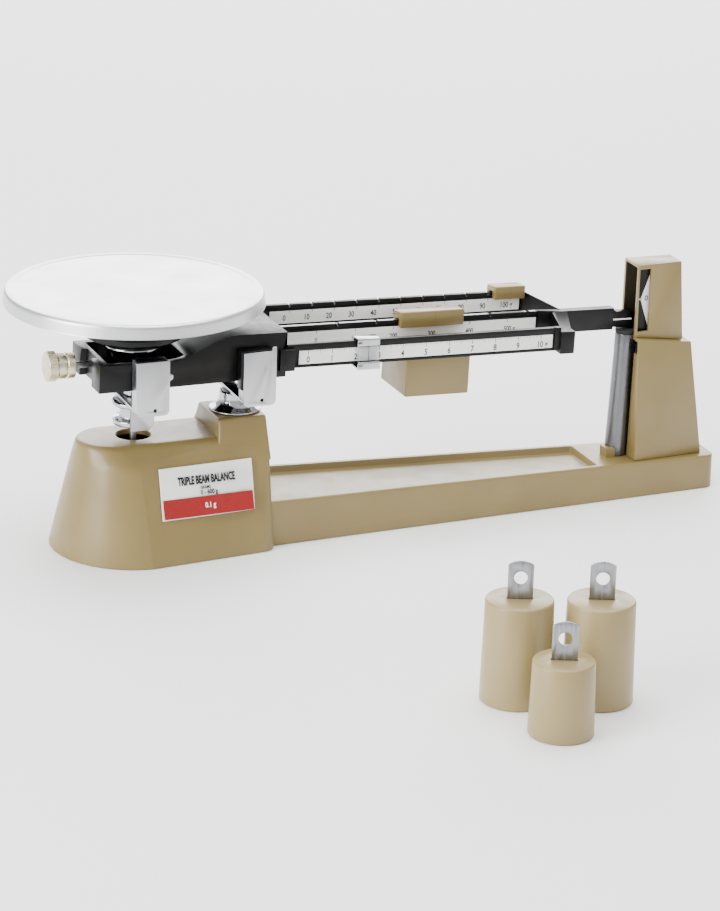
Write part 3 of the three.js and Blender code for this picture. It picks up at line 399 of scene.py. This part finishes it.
def mesh_from(name, points, faces):
    mesh = bpy.data.meshes.new(name)
    mesh.from_pydata([tuple(c * MM for c in p) for p in points], [], faces)
    work = bmesh.new()
    work.from_mesh(mesh)
    bmesh.ops.remove_doubles(work, verts=work.verts, dist=0.000002)
    bmesh.ops.recalc_face_normals(work, faces=work.faces)
    work.to_mesh(mesh)
    work.free()
    return mesh


def lofted(name, rings):
    """A closed skin over rings that all have the same number of points."""
    count = len(rings[0])
    points = [p for ring in rings for p in ring]
    faces = []
    for level in range(len(rings) - 1):
        for i in range(count):
            j = (i + 1) % count
            a, b = level * count, (level + 1) * count
            faces.append((a + i, a + j, b + j, b + i))
    faces.append(tuple(reversed(range(count))))
    faces.append(tuple(range((len(rings) - 1) * count, len(rings) * count)))
    return mesh_from(name, points, faces)


def lathed(name, profile, centre, sides=96, axis="Z"):
    """Turns radius and height pairs, which start and end on the axis, about it."""
    points, faces, rows = [], [], []
    for radius, height in profile:
        if radius < 1e-6:
            rows.append([len(points)])
            points.append((0.0, 0.0, height))
        else:
            row = []
            for i in range(sides):
                angle = 2.0 * math.pi * i / sides
                row.append(len(points))
                points.append((radius * math.cos(angle), radius * math.sin(angle), height))
            rows.append(row)
    for low, high in zip(rows, rows[1:]):
        for i in range(sides):
            j = (i + 1) % sides
            if len(low) == 1 and len(high) == 1:
                continue
            if len(low) == 1:
                faces.append((low[0], high[i], high[j]))
            elif len(high) == 1:
                faces.append((low[i], low[j], high[0]))
            else:
                faces.append((low[i], low[j], high[j], high[i]))
    if axis == "X":
        points = [(z, x, y) for x, y, z in points]
    points = [(p[0] + centre[0], p[1] + centre[1], p[2] + centre[2]) for p in points]
    return mesh_from(name, points, faces)


def rounded(profile, radius, steps=4):
    """Rounds every corner of an open profile but its two ends."""
    out = [profile[0]]
    for before, corner, after in zip(profile, profile[1:], profile[2:]):
        b, c, a = Vector(before), Vector(corner), Vector(after)
        reach = min(radius, (b - c).length * 0.45, (a - c).length * 0.45)
        start, end = c + (b - c).normalized() * reach, c + (a - c).normalized() * reach
        for i in range(steps + 1):
            t = i / steps
            out.append(tuple(start * (1 - t) ** 2 + c * 2 * t * (1 - t) + end * t ** 2))
    out.append(profile[-1])
    return out


def boxed(name, low, high):
    points = [(x, y, z) for x in (low[0], high[0]) for y in (low[1], high[1]) for z in (low[2], high[2])]
    faces = [(0, 1, 3, 2), (4, 6, 7, 5), (0, 4, 5, 1), (2, 3, 7, 6), (0, 2, 6, 4), (1, 5, 7, 3)]
    return mesh_from(name, points, faces)


def combined(name, first, steps):
    """Adds or cuts closed meshes, one after another, with exact booleans."""
    holder = bpy.data.objects.new(name, first)
    bpy.context.scene.collection.objects.link(holder)
    tools = []
    for operation, mesh in steps:
        tool = bpy.data.objects.new("tool", mesh)
        bpy.context.scene.collection.objects.link(tool)
        tools.append(tool)
        modifier = holder.modifiers.new(operation.lower(), "BOOLEAN")
        modifier.operation = operation
        modifier.object = tool
        modifier.solver = "EXACT"
    result = evaluated(holder, name)
    for tool in tools:
        bpy.data.objects.remove(tool)
    bpy.data.objects.remove(holder)
    return result


# ---------------------------------------------------------------- repeated marks, as node trees
def new_tree(name, inputs):
    tree = bpy.data.node_groups.new(name, "GeometryNodeTree")
    for label, kind, value in inputs:
        socket = tree.interface.new_socket(label, in_out="INPUT", socket_type=kind)
        if value is not None:
            socket.default_value = value
    tree.interface.new_socket("Geometry", in_out="OUTPUT", socket_type="NodeSocketGeometry")
    return tree


def graduation_tree():
    """A row of equal bars: ticks on a scale, or bright lands between notches."""
    tree = new_tree("graduations", [
        ("Count", "NodeSocketInt", 10),
        ("Start", "NodeSocketVector", None),
        ("Pitch", "NodeSocketFloat", 0.001),
        ("Bar Size", "NodeSocketVector", None),
        ("Finish", "NodeSocketMaterial", None),
    ])
    given = add(tree, "NodeGroupInput").outputs
    step = add(tree, "ShaderNodeCombineXYZ", None, {"X": given["Pitch"]})
    line = add(tree, "GeometryNodeMeshLine", None,
               {"Count": given["Count"], "Start Location": given["Start"], "Offset": step.outputs["Vector"]})
    bar = add(tree, "GeometryNodeMeshCube", None, {"Size": given["Bar Size"]})
    row = add(tree, "GeometryNodeInstanceOnPoints", None,
              {"Points": line.outputs["Mesh"], "Instance": bar.outputs["Mesh"]})
    real = add(tree, "GeometryNodeRealizeInstances", None, {"Geometry": row.outputs["Instances"]})
    done = add(tree, "GeometryNodeSetMaterial", None,
               {"Geometry": real.outputs["Geometry"], "Material": given["Finish"]})
    add(tree, "NodeGroupOutput", None, {"Geometry": done.outputs["Geometry"]})
    return tree


def knurl_tree():
    """Straight ridges round a rim whose axis is X."""
    tree = new_tree("knurling", [
        ("Count", "NodeSocketInt", 60),
        ("Centre", "NodeSocketVector", None),
        ("Rim Radius", "NodeSocketFloat", 0.0088),
        ("Ridge Length", "NodeSocketFloat", 0.004),
        ("Ridge Width", "NodeSocketFloat", 0.0005),
        ("Finish", "NodeSocketMaterial", None),
    ])
    given = add(tree, "NodeGroupInput").outputs
    ring = add(tree, "GeometryNodeMeshCircle", None,
               {"Vertices": given["Count"], "Radius": given["Rim Radius"]})
    upright = add(tree, "GeometryNodeTransform", {"Rotation": (0.0, math.pi / 2, 0.0)},
                  {"Geometry": ring.outputs["Mesh"], "Translation": given["Centre"]})
    ridge = add(tree, "GeometryNodeMeshCylinder", {"Vertices": 6},
                {"Radius": given["Ridge Width"], "Depth": given["Ridge Length"]})
    laid = add(tree, "GeometryNodeTransform", {"Rotation": (0.0, math.pi / 2, 0.0)},
               {"Geometry": ridge.outputs["Mesh"]})
    row = add(tree, "GeometryNodeInstanceOnPoints", None,
              {"Points": upright.outputs["Geometry"], "Instance": laid.outputs["Geometry"]})
    real = add(tree, "GeometryNodeRealizeInstances", None, {"Geometry": row.outputs["Instances"]})
    done = add(tree, "GeometryNodeSetMaterial", None,
               {"Geometry": real.outputs["Geometry"], "Material": given["Finish"]})
    add(tree, "NodeGroupOutput", None, {"Geometry": done.outputs["Geometry"]})
    return tree


def grown(name, tree, values, matrix=STILL):
    """Runs a node tree with its named inputs and returns the plain mesh, in place."""
    holder = bpy.data.objects.new(name, bpy.data.meshes.new(name))
    bpy.context.scene.collection.objects.link(holder)
    modifier = holder.modifiers.new("tree", "NODES")
    modifier.node_group = tree
    for item in tree.interface.items_tree:
        if item.item_type == "SOCKET" and item.in_out == "INPUT" and item.name in values:
            modifier[item.identifier] = values[item.name]
    mesh = evaluated(holder, name)
    bpy.data.objects.remove(holder)
    millimetre_transform(mesh, matrix)
    return mesh


GRADUATIONS = graduation_tree()
KNURLING = knurl_tree()


def millimetre_transform(mesh, matrix):
    """Moves a mesh by a matrix whose lengths are in millimetres."""
    grow = Matrix.Diagonal((MM, MM, MM, 1.0))
    mesh.transform(grow @ matrix @ grow.inverted())


def joined(name, meshes):
    work = bmesh.new()
    for mesh in meshes:
        work.from_mesh(mesh)
    mesh = bpy.data.meshes.new(name)
    work.to_mesh(mesh)
    work.free()
    return mesh


def type_line(text, height_mm, bold, matrix):
    """One centred line of raised type, which matrix squeezes, turns and places in millimetres."""
    curve = bpy.data.curves.new("type", "FONT")
    curve.body = text
    curve.align_x = "CENTER"
    curve.align_y = "CENTER"
    curve.size = height_mm / CAP_SHARE
    curve.extrude = TYPE_DEPTH / 2
    curve.offset = bold
    curve.resolution_u = 3
    holder = bpy.data.objects.new("type", curve)
    bpy.context.scene.collection.objects.link(holder)
    mesh = evaluated(holder, "type")
    bpy.data.objects.remove(holder)
    mesh.transform(Matrix.Diagonal((MM, MM, MM, 1.0)) @ matrix)
    return mesh


def upright_line(text, height_mm, centre, matrix, squeeze, bold):
    """Upright type that faces the user, with centre as the middle of the line."""
    upright = Matrix(((squeeze, 0, 0, 0), (0, 0, -1, 0), (0, 1, 0, 0), (0, 0, 0, 1)))
    return type_line(text, height_mm, bold, matrix @ Matrix.Translation(centre) @ upright)


# ---------------------------------------------------------------- the cast base
def ring_arc(cx, cy, radius, start, end, steps):
    out = []
    for i in range(steps + 1):
        angle = math.radians(start + (end - start) * i / steps)
        out.append((cx + radius * math.cos(angle), cy + radius * math.sin(angle)))
    return out


def mixed(a, b, t):
    return [tuple(p + (q - p) * t for p, q in zip(u, v)) for u, v in zip(a, b)]


def curved(a, b, c, steps):
    return [
        [tuple(p * (1 - t) ** 2 + q * 2 * t * (1 - t) + r * t * t for p, q, r in zip(u, v, w))
         for u, v, w in zip(a, b, c)]
        for t in (i / steps for i in range(steps + 1))
    ]


def housing_mesh(inset=0.0):
    """The housing's outside, or with an inset the room inside its wall."""
    def ring(z, centre, radius, half, corner, shrink=0.0):
        right = HOUSING_RIGHT - inset - shrink
        radius, half = radius - inset - shrink, half - inset - shrink
        flat = ring_arc(right - corner, -half + corner, corner, -90, 0, 8)
        flat += ring_arc(right - corner, half - corner, corner, 0, 90, 8)
        # The round end stops short of the flanks, which leaves a crease down each flank's left edge.
        flat += ring_arc(centre, 0, radius, 90 + CREASE, 270 - CREASE, 52)
        return [(x, y, z) for x, y in flat]

    shoulder_height, top_height = SHOULDER_HEIGHT - inset, TOP_HEIGHT - inset
    foot = ring(-1.0 if inset else 0.0, PAN_X, FOOT_RADIUS, FOOT_HALF, 9 - inset)
    shoulder = ring(shoulder_height, PAN_X - SHOULDER_BACK, SHOULDER_RADIUS, SHOULDER_HALF, 5 - inset * 0.5)
    top = ring(top_height, PAN_X - TOP_BACK, TOP_HALF, TOP_HALF, 4 - inset * 0.5)
    if inset:
        return lofted("housing room", [foot, shoulder, top])
    cap = ring(top_height, PAN_X - TOP_BACK, TOP_HALF, TOP_HALF, 2, 2.6)
    sole = ring(0.0, PAN_X, FOOT_RADIUS, FOOT_HALF, 9, 0.9)
    low = mixed(foot, shoulder, 0.018)
    rings = [sole] + curved(sole, foot, low, 3)[1:]
    rings += [mixed(low, shoulder, t) for t in (0.3, 0.6)]
    rings += curved(mixed(foot, shoulder, 0.955), shoulder, mixed(shoulder, top, 0.16), 5)
    rings += curved(mixed(shoulder, top, 0.72), top, cap, 6)
    return lofted("housing", rings)


def pad_mesh():
    """The raised pad under the fulcrum, whose left side sweeps down into the housing's top."""
    def ring(z, left, half, shrink=0.0):
        corner = 1.8
        left, right = left + shrink, HOUSING_RIGHT - shrink
        half = half - shrink
        flat = ring_arc(right - corner, -half + corner, corner, -90, 0, 4)
        flat += ring_arc(right - corner, half - corner, corner, 0, 90, 4)
        flat += ring_arc(left + corner, half - corner, corner, 90, 180, 4)
        flat += ring_arc(left + corner, -half + corner, corner, 180, 270, 4)
        return [(x, y, z) for x, y in flat]

    rings = []
    for i in range(9):
        t = i / 8.0
        sweep = (1.0 - t) ** 2.4
        rings.append(ring(52 + 22.8 * t, PAD_LEFT - 8.5 * sweep, 28.0 - 9.9 * t))
    edge, rim = ring(PAD_TOP, PAD_LEFT, PAD_HALF), ring(PAD_TOP, PAD_LEFT, PAD_HALF, 1.2)
    rings += curved(rings[-1], edge, rim, 3)[1:]
    return lofted("pad", rings)


def along_channel(ends, x):
    near, far = ends
    return near + (far - near) * (x - HOUSING_RIGHT) / (BASE_RIGHT - HOUSING_RIGHT)


def channel_top(x):
    return along_channel(CHANNEL_HEIGHTS, x)


def channel_ring(left, right, inset, height):
    def half(x):
        return along_channel(CHANNEL_HALVES, x) - inset

    corner = max(7.0 - inset, 1.2)
    flat = ring_arc(right - corner, -half(right) + corner, corner, -90, 0, 6)
    flat += ring_arc(right - corner, half(right) - corner, corner, 0, 90, 6)
    flat += [(left, half(left)), (left, -half(left))]
    return [(x, y, height(x)) for x, y in flat]


def channel_mesh():
    left, right = HOUSING_RIGHT - 8, BASE_RIGHT
    sole = channel_ring(left, right, 0.8, lambda x: 0.0)
    foot = channel_ring(left, right, 0.0, lambda x: 0.0)
    low = channel_ring(left, right, 0.05, lambda x: 0.8)
    high = channel_ring(left, right, 1.5, lambda x: channel_top(x) - 1.4)
    edge = channel_ring(left, right, 1.6, channel_top)
    rim = channel_ring(left, right, 3.0, channel_top)
    rings = curved(sole, foot, low, 3) + curved(high, edge, rim, 4)
    return lofted("channel", rings)


def tray_mesh():
    def ring(grow, height):
        left, right = HOUSING_RIGHT + 4 - grow, TRAY_RIGHT + grow
        return channel_ring(left, right, 5.6 - grow, height)

    return lofted("tray", [
        ring(-1.8, lambda x: channel_top(x) - 4.0),
        ring(-0.9, lambda x: channel_top(x) - 3.7),
        ring(-0.4, lambda x: channel_top(x) - 2.8),
        ring(0.0, lambda x: channel_top(x) - 0.7),
        ring(0.6, lambda x: channel_top(x) + 0.05),
        ring(0.6, lambda x: channel_top(x) + 2.0),
    ])


def mark_creases(mesh):
    """Keeps the shading crisp along the crease between the housing's round end and its flanks."""
    turn = math.radians(CREASE)
    reach, rise = math.sin(turn), math.cos(turn)
    foot = Vector((PAN_X - FOOT_RADIUS * reach, FOOT_RADIUS * rise, 0.0)) * MM
    brow_x = PAN_X - SHOULDER_BACK - SHOULDER_RADIUS * reach
    brow = Vector((brow_x, SHOULDER_RADIUS * rise, SHOULDER_HEIGHT)) * MM
    for edge in mesh.edges:
        ends = [mesh.vertices[i].co for i in edge.vertices]
        near = []
        for end in ends:
            place = foot.lerp(brow, end.z / brow.z)
            near.append(math.hypot(end.x - place.x, abs(end.y) - place.y) < 0.4 * MM and end.z < brow.z)
        if all(near):
            edge.use_edge_sharp = True


def build_base():
    hollow = channel_ring(HOUSING_RIGHT - 10, BASE_RIGHT, HOUSING_WALL, lambda x: -1.0)
    ceiling = channel_ring(HOUSING_RIGHT - 10, BASE_RIGHT, HOUSING_WALL, lambda x: channel_top(x) - 7.0)
    rod_hole = [(0, 50), (10, 50), (10, 65.2), (10.8, 66.2), (10.8, 70), (0, 70)]
    stud_hole = [(0, 50), (3.3, 50), (3.3, 80), (0, 80)]
    rest_seat = [(0, 21.95), (7.2, 21.95), (7.2, 32), (0, 32)]
    steps = [
        ("UNION", pad_mesh()),
        ("UNION", channel_mesh()),
        ("DIFFERENCE", tray_mesh()),
        ("DIFFERENCE", housing_mesh(HOUSING_WALL)),
        ("DIFFERENCE", lofted("channel room", [hollow, ceiling])),
        ("DIFFERENCE", lathed("rod hole", rod_hole, (PAN_X, 0, 0), 64)),
        ("DIFFERENCE", lathed("stud hole", stud_hole, (FULCRUM[0], 0, 0), 32)),
        ("UNION", boxed("clip", (141.8, -7.0, 19.0), (147.7, 2.0, 27.8))),
        ("DIFFERENCE", lathed("rest seat", rest_seat, (REST_FOOT_X, 0, 0), 48)),
    ]
    mesh = combined("base_casting_look", housing_mesh(), steps)
    piece = place_piece("base_casting_look", mesh, TAN, "base", 30.0)
    mark_creases(piece.data)
    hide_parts("base_casting")


# ---------------------------------------------------------------- pan and its spindle
def turned_piece(node, profile, centre, material, round_mm, sides=96):
    mesh = lathed(node + "_look", rounded(profile, round_mm), centre, sides)
    piece = place_piece(node + "_look", mesh, material, BODY_OF[node], 34.0)
    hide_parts(node)


def build_pan():
    top = 154.9
    outside = [(0, top - 0.5), (68.6, top - 0.5), (70.2, top - 0.1), (72.2, top), (73.6, top - 0.3),
               (74.4, top - 1.1), (74.7, top - 2.2), (75.4, top - 7.5), (75.5, top - 7.9)]
    inside = [(74.5, top - 7.9), (74.0, top - 4.0), (73.5, top - 2.3), (72.4, top - 1.5), (70.0, top - 1.4),
              (68.4, top - 1.7), (0, top - 1.7)]
    mesh = lathed("pan_look", rounded(outside, 0.8, 3) + rounded(inside, 0.6, 3), (PAN_X, 0, 0), 160)
    piece = place_piece("pan_look", mesh, SPUN, "pan", 40.0)
    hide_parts("pan")
    centre = (PAN_X, 0, 0)
    hub = [(0, 122.6), (18.1, 122.6), (29.5, 128.0), (29.5, 131.6), (14, 134.8), (10, 138.8), (10, 153.4),
           (0, 153.4)]
    cup = [(0, 90.6), (6, 90.6), (6, 109.1), (14.5, 110.1), (17.7, 122.3), (0, 122.3)]
    spool = [(0, 73.5), (12.2, 73.5), (12.2, 76.8), (8.0, 77.6), (8.4, 84.4), (12.6, 85.1), (12.6, 87.7),
             (0, 87.7)]
    turned_piece("pan_hub", hub, centre, BLACK, 0.8)
    turned_piece("pan_cup", cup, centre, CHROME, 1.4)
    turned_piece("pan_spool", spool, centre, CHROME, 0.8)


def build_column():
    column = [(0, 76.3), (15.5, 76.3), (15.5, 77.3), (13.4, 78.2), (11.4, 79.3), (10.2, 81.3), (9.6, 83.9),
              (9.6, 87.7), (0, 87.7)]
    cap = [(0, 100.13), (6.5, 100.13), (6.5, 102.33), (0, 102.33)]
    turned_piece("fulcrum_column", column, (FULCRUM[0], 0, 0), CHROME, 1.2)
    turned_piece("rest_cap", cap, (REST_FOOT_X + REST_LEAN, 0, 0), RUBBER, 0.5, 64)


# ---------------------------------------------------------------- beams
def plate_marks(bar, name, marks, ticks):
    face = bar["y"] - BAR_HALF - 0.03
    middle = bar["top"] - bar["rail"] - bar["plate"] / 2
    meshes = [upright_line(text, size, (x, face, middle + rise), LEVER, 0.78, 0.1)
              for text, size, x, rise in marks]
    top = bar["top"] - bar["rail"] - 0.2
    for count, pitch, width, height in ticks:
        values = {
            "Count": count,
            "Start": (bar["zero"] * MM, face * MM, (top - height / 2) * MM),
            "Pitch": pitch * MM,
            "Bar Size": (width * MM, 0.04 * MM, height * MM),
            "Finish": INK,
        }
        meshes.append(grown(name + " ticks", GRADUATIONS, values, LEVER))
    place_piece(name, joined(name, meshes), INK, "beam")


def scale_numbers(bar, count, step, size, rise, shift, last_shift):
    """A number beside each mark, and after the last one its unit."""
    numbers = [(str(step * i), size, bar["zero"] + bar["pitch"] * i + shift, rise) for i in range(count)]
    return numbers + [(f"{step * count} g", size, bar["zero"] + bar["pitch"] * count + last_shift, rise)]


def build_scales():
    rear = scale_numbers(REAR, 10, 10, 3.4, -0.6, -3.4, -2.05)
    middle = scale_numbers(MIDDLE, 5, 100, 3.0, -2.0, 0.0, 1.57)
    front = scale_numbers(FRONT, 10, 1, 3.7, -1.6, 0.0, 1.04)
    plate_marks(REAR, "rear_scale_print", rear, [(11, REAR["pitch"], 0.35, 1.3)])
    plate_marks(MIDDLE, "middle_scale_print", middle, [(6, MIDDLE["pitch"], 0.35, 1.6)])
    plate_marks(FRONT, "front_scale_print", front, [
        (101, FRONT["pitch"] / 10, 0.18, 1.1),
        (21, FRONT["pitch"] / 2, 0.22, 1.8),
        (11, FRONT["pitch"], 0.34, 2.5),
    ])


def build_notch_lands():
    """Bright lands on the middle beam's top edge, where the poise has worn the paint off."""
    notch, pitch = MIDDLE["zero"] + NOTCH_AFTER_MARK, MIDDLE["pitch"]
    values = {
        "Count": 5,
        "Start": ((notch + pitch / 2) * MM, MIDDLE["y"] * MM, (MIDDLE["top"] + 0.02) * MM),
        "Pitch": pitch * MM,
        "Bar Size": ((pitch - 2.2) * MM, 2.2 * MM, 0.1 * MM),
        "Finish": STEEL,
    }
    lands = grown("middle lands", GRADUATIONS, values, LEVER)
    ends = []
    for x0, x1 in ((BEAM_LEFT + 3, notch - 1.1), (notch + 5 * pitch + 1.1, BEAM_RIGHT - 1)):
        end = boxed("land", (x0, MIDDLE["y"] - 1.1, MIDDLE["top"] - 0.03),
                    (x1, MIDDLE["y"] + 1.1, MIDDLE["top"] + 0.07))
        millimetre_transform(end, LEVER)
        ends.append(end)
    place_piece("middle_beam_lands", joined("middle_beam_lands", [lands] + ends), STEEL, "beam")


def build_pointer():
    """The white line along the beam's nose, which points at the zero."""
    mesh = boxed("pointer_line", (144.0, -2.12, 115.7), (156.2, -1.62, 116.4))
    millimetre_transform(mesh, LEVER)
    place_piece("pointer_line", mesh, WHITE, "beam")


# ---------------------------------------------------------------- knob, poises, rider
def build_knob():
    left, height = -215.5, 109.0
    profile = [(0, 0), (8.3, 0), (8.5, 0.4), (8.5, 5.1), (8.1, 5.5), (7.2, 5.6), (7.0, 6.0), (7.7, 6.4),
               (7.7, 10.4), (7.0, 10.8), (7.0, 11.4), (7.7, 11.8), (7.7, 15.8), (7.4, 16.1), (0, 16.1)]
    mesh = lathed("zero_knob_look", rounded(profile, 0.25, 2), (left, 0, height), 72, "X")
    ridges = grown("ridges", KNURLING, {
        "Count": 64,
        "Centre": ((left + 2.75) * MM, 0.0, height * MM),
        "Rim Radius": 8.5 * MM,
        "Ridge Length": 4.3 * MM,
        "Ridge Width": 0.3 * MM,
        "Finish": KNOB,
    })
    whole = joined("zero_knob_look", [mesh, ridges])
    millimetre_transform(whole, LEVER)
    piece = place_piece("zero_knob_look", whole, KNOB, "knob", 34.0)
    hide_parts("zero_knob")


def build_poise_lines():
    for name, body, x, y, low, high in (
        ("rear_poise_line", "rear_slider", 84.0, 19.27, 126.2, 133.9),
        ("middle_poise_line", "middle_slider", 24.1, -5.03, 120.1, 129.3),
    ):
        mesh = boxed(name, (x - 0.16, y - 0.02, low), (x + 0.16, y + 0.06, high))
        millimetre_transform(mesh, LEVER)
        place_piece(name, mesh, FAINT, body)
    x, y = -28.0, -29.35
    mesh = boxed("rider_hairline", (x - 0.15, y, 109.4), (x + 0.15, y + 0.06, 118.4))
    millimetre_transform(mesh, LEVER)
    place_piece("rider_hairline", mesh, INK, "front_slider")


# ---------------------------------------------------------------- label and index plate
def label_axes():
    """The label's lower left corner, and the directions along it and up it."""
    corner = Vector((-158.0, -42.38, 26.0))
    along = (Vector((-100.0, -39.83, 26.0)) - corner).normalized()
    up = (Vector((-158.0, -33.28, 54.8)) - corner)
    up = (up - along * up.dot(along)).normalized()
    return corner, along, up


def label_line(text, height_mm, squeeze, x, z, lift, face, bold):
    flat = Matrix.Translation((x, z, lift)) @ Matrix.Diagonal((squeeze, 1.0, 1.0, 1.0))
    return type_line(text, height_mm, bold, face @ flat)


def build_label():
    finish_node("front_label", WHITE, 0.12, 1)
    # The housing's front face leans back as it rises and turns in towards the right.
    corner, along, up = label_axes()
    face = Matrix((
        (along.x, up.x, 0.0, corner.x), (along.y, up.y, 0.0, corner.y), (along.z, up.z, 0.0, corner.z),
        (0.0, 0.0, 0.0, 1.0),
    ))
    out = along.cross(up)
    for row in range(3):
        face[row][2] = out[row]
    width, height = 58.0, 30.2
    band = boxed("label_band", (1.0, 0.9, PRINT_GAP), (width - 1.0, height * 0.4, 2 * PRINT_GAP))
    millimetre_transform(band, face)
    place_piece("label_band", band, RED, "base")
    lines = [("TRIPLE BEAM BALANCE", 4.6, 0.52, 29.0, 21.6, 0.3), ("GRAMS", 1.7, 0.8, 28.0, 17.1, 0.08),
             ("0 - 600 g", 2.6, 0.8, 30.0, 14.2, 0.12)]
    words = [label_line(text, size, squeeze, x, z, 2 * PRINT_GAP, face, bold)
             for text, size, squeeze, x, z, bold in lines]
    place_piece("label_words", joined("label_words", words), INK, "base")
    lower = label_line("0.1 g", 3.0, 0.8, 30.0, 6.6, 3 * PRINT_GAP, face, 0.12)
    place_piece("label_lower_words", lower, WHITE, "base")


def build_index():
    finish_node("index_plate", BLACK, 0.15, 1)
    y = -6.44
    outline = ((171.0, 140.6), (166.2, 140.6), (159.6, 122.1), (166.0, 102.6), (171.0, 102.6))
    count = len(outline)
    points = [(x, depth, z) for depth in (y, y + PRINT_GAP) for x, z in outline]
    sides = [(i, (i + 1) % count, (i + 1) % count + count, i + count) for i in range(count)]
    faces = [tuple(range(count)), tuple(reversed(range(count, 2 * count)))] + sides
    line = boxed("index_line", (157.7, y, 121.8), (160.6, y + PRINT_GAP, 122.4))
    marks = joined("index_marks", [mesh_from("index_triangle", points, faces), line])
    place_piece("index_marks", marks, WHITE, "base")
    zero = upright_line("0", 3.2, (163.4, y - 0.04, 122.4), STILL, 1.0, 0.14)
    place_piece("index_zero", zero, BLUE, "base")


# ---------------------------------------------------------------- post
def build_post_inside():
    """The covers' inner faces take a nearly black painted shade, which stands for the shadow inside the
    post.
    """
    for name in ("post_upper_cover_look", "post_lower_cover_look"):
        mesh = bpy.data.objects[name].data
        mesh.materials.append(POST_INSIDE_PAINTED_SHADE)
        for face in mesh.polygons:
            outward = face.center.y * face.normal.y > 0 or face.normal.x < -0.5 or face.normal.z > 0.5
            if abs(face.normal.y) <= 0.5 and face.normal.z <= 0.5:
                outward = (face.center.x - POST_MIDDLE * MM) * face.normal.x > 0
            # Faces that look into the post get the painted shade.
            if not outward:
                face.material_index = 1


def build_rest():
    """The beam rest: a leaning tapered tube with a collar at its top."""
    def ring(t, radius):
        centre = REST_FOOT_X + REST_LEAN * t
        return [(centre + x, y, REST_LOW + REST_RISE * t) for x, y in ring_arc(0, 0, radius, 0, 354, 59)]

    rings = [ring(t, 6.9 - 0.7 * t) for t in (0.0, 0.25, 0.5, 0.75, 0.86, 0.868)]
    rings += [ring(t, 6.45) for t in (0.87, 0.99)] + [ring(1.0, 6.2)]
    mesh = lofted("beam_rest_look", rings)
    piece = place_piece("beam_rest_look", mesh, GREY, "base", 34.0)
    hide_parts("beam_rest")


def build_web():
    """A thin floor in the beam casting's well, with room round the pan's stem."""
    plate = boxed("well_web", (-185.3, -20.9, 99.4), (-139.7, 20.9, 100.6))
    hole = lathed("stem way", [(0, 95), (11, 95), (11, 105), (0, 105)], (PAN_X, 0, 0), 48)
    mesh = combined("well_web", plate, [("DIFFERENCE", hole)])
    millimetre_transform(mesh, LEVER)
    place_piece("well_web", mesh, BLACK, "beam")


# ---------------------------------------------------------------- nodes that only need eased edges
# For each finish, the nodes that wear it and how far their edges are rounded, in millimetres.
EASED = {
    TAN: {"post_lower_cover": 1.0, "post_upper_cover": 0.9, "rear_poise": 0.7, "middle_poise_saddle": 0.7,
          "middle_poise_block": 1.0},
    BLACK: {
        "beam_casting": 0.9, "rear_beam": 0.25, "middle_beam": 0.25, "front_beam": 0.25, "end_spider": 0.6,
        "fulcrum_bearing_front": 0.5, "fulcrum_bearing_rear": 0.5,
        "load_bearing_front": 0.5, "load_bearing_rear": 0.5,
    },
    SHEET: {"fulcrum_plate_front": 0.3, "fulcrum_plate_rear": 0.3, "load_plate_front": 0.3,
            "load_plate_rear": 0.3, "load_bridge": 0.3},
    CHROME: {"fulcrum_bridge": 0.4, "front_rider": 0.25},
    STEEL: {
        "bottom_cover": 0.3, "cover_screw_1": 0.2, "cover_screw_2": 0.2, "cover_screw_3": 0.2,
        "column_stud": 0.3, "magnet_bracket": 0.3, "damping_vane": 0.2, "zero_stud": 0.2, "zero_washer": 0.1,
        "fulcrum_knife_front": 0.1, "fulcrum_knife_rear": 0.1,
        "load_knife_front": 0.1, "load_knife_rear": 0.1,
        "middle_poise_hanger": 0.3, "check_rod": 0.2, "check_link": 0.3,
        "weight_tab_left": 0.2, "weight_tab_right": 0.2, "weight_tab_front": 0.2,
    },
    WHITE: {"rear_scale": 0.08, "middle_scale": 0.08, "front_scale": 0.08},
    MAGNET: {"magnet_front": 0.4, "magnet_rear": 0.4},
    CREAM: {"weight_left": 0.5, "weight_right": 0.5, "weight_front": 0.5},
    CLEAR: {"rider_window": 0.1},
}


def ease_nodes():
    for finish, widths in EASED.items():
        for node, width in widths.items():
            finish_node(node, finish, width)


# ---------------------------------------------------------------- everything
set_camera()
set_stage()
build_base()
build_pan()
build_column()
build_scales()
build_notch_lands()
build_pointer()
build_knob()
build_poise_lines()
build_label()
build_index()
ease_nodes()
build_post_inside()
build_rest()
build_web()
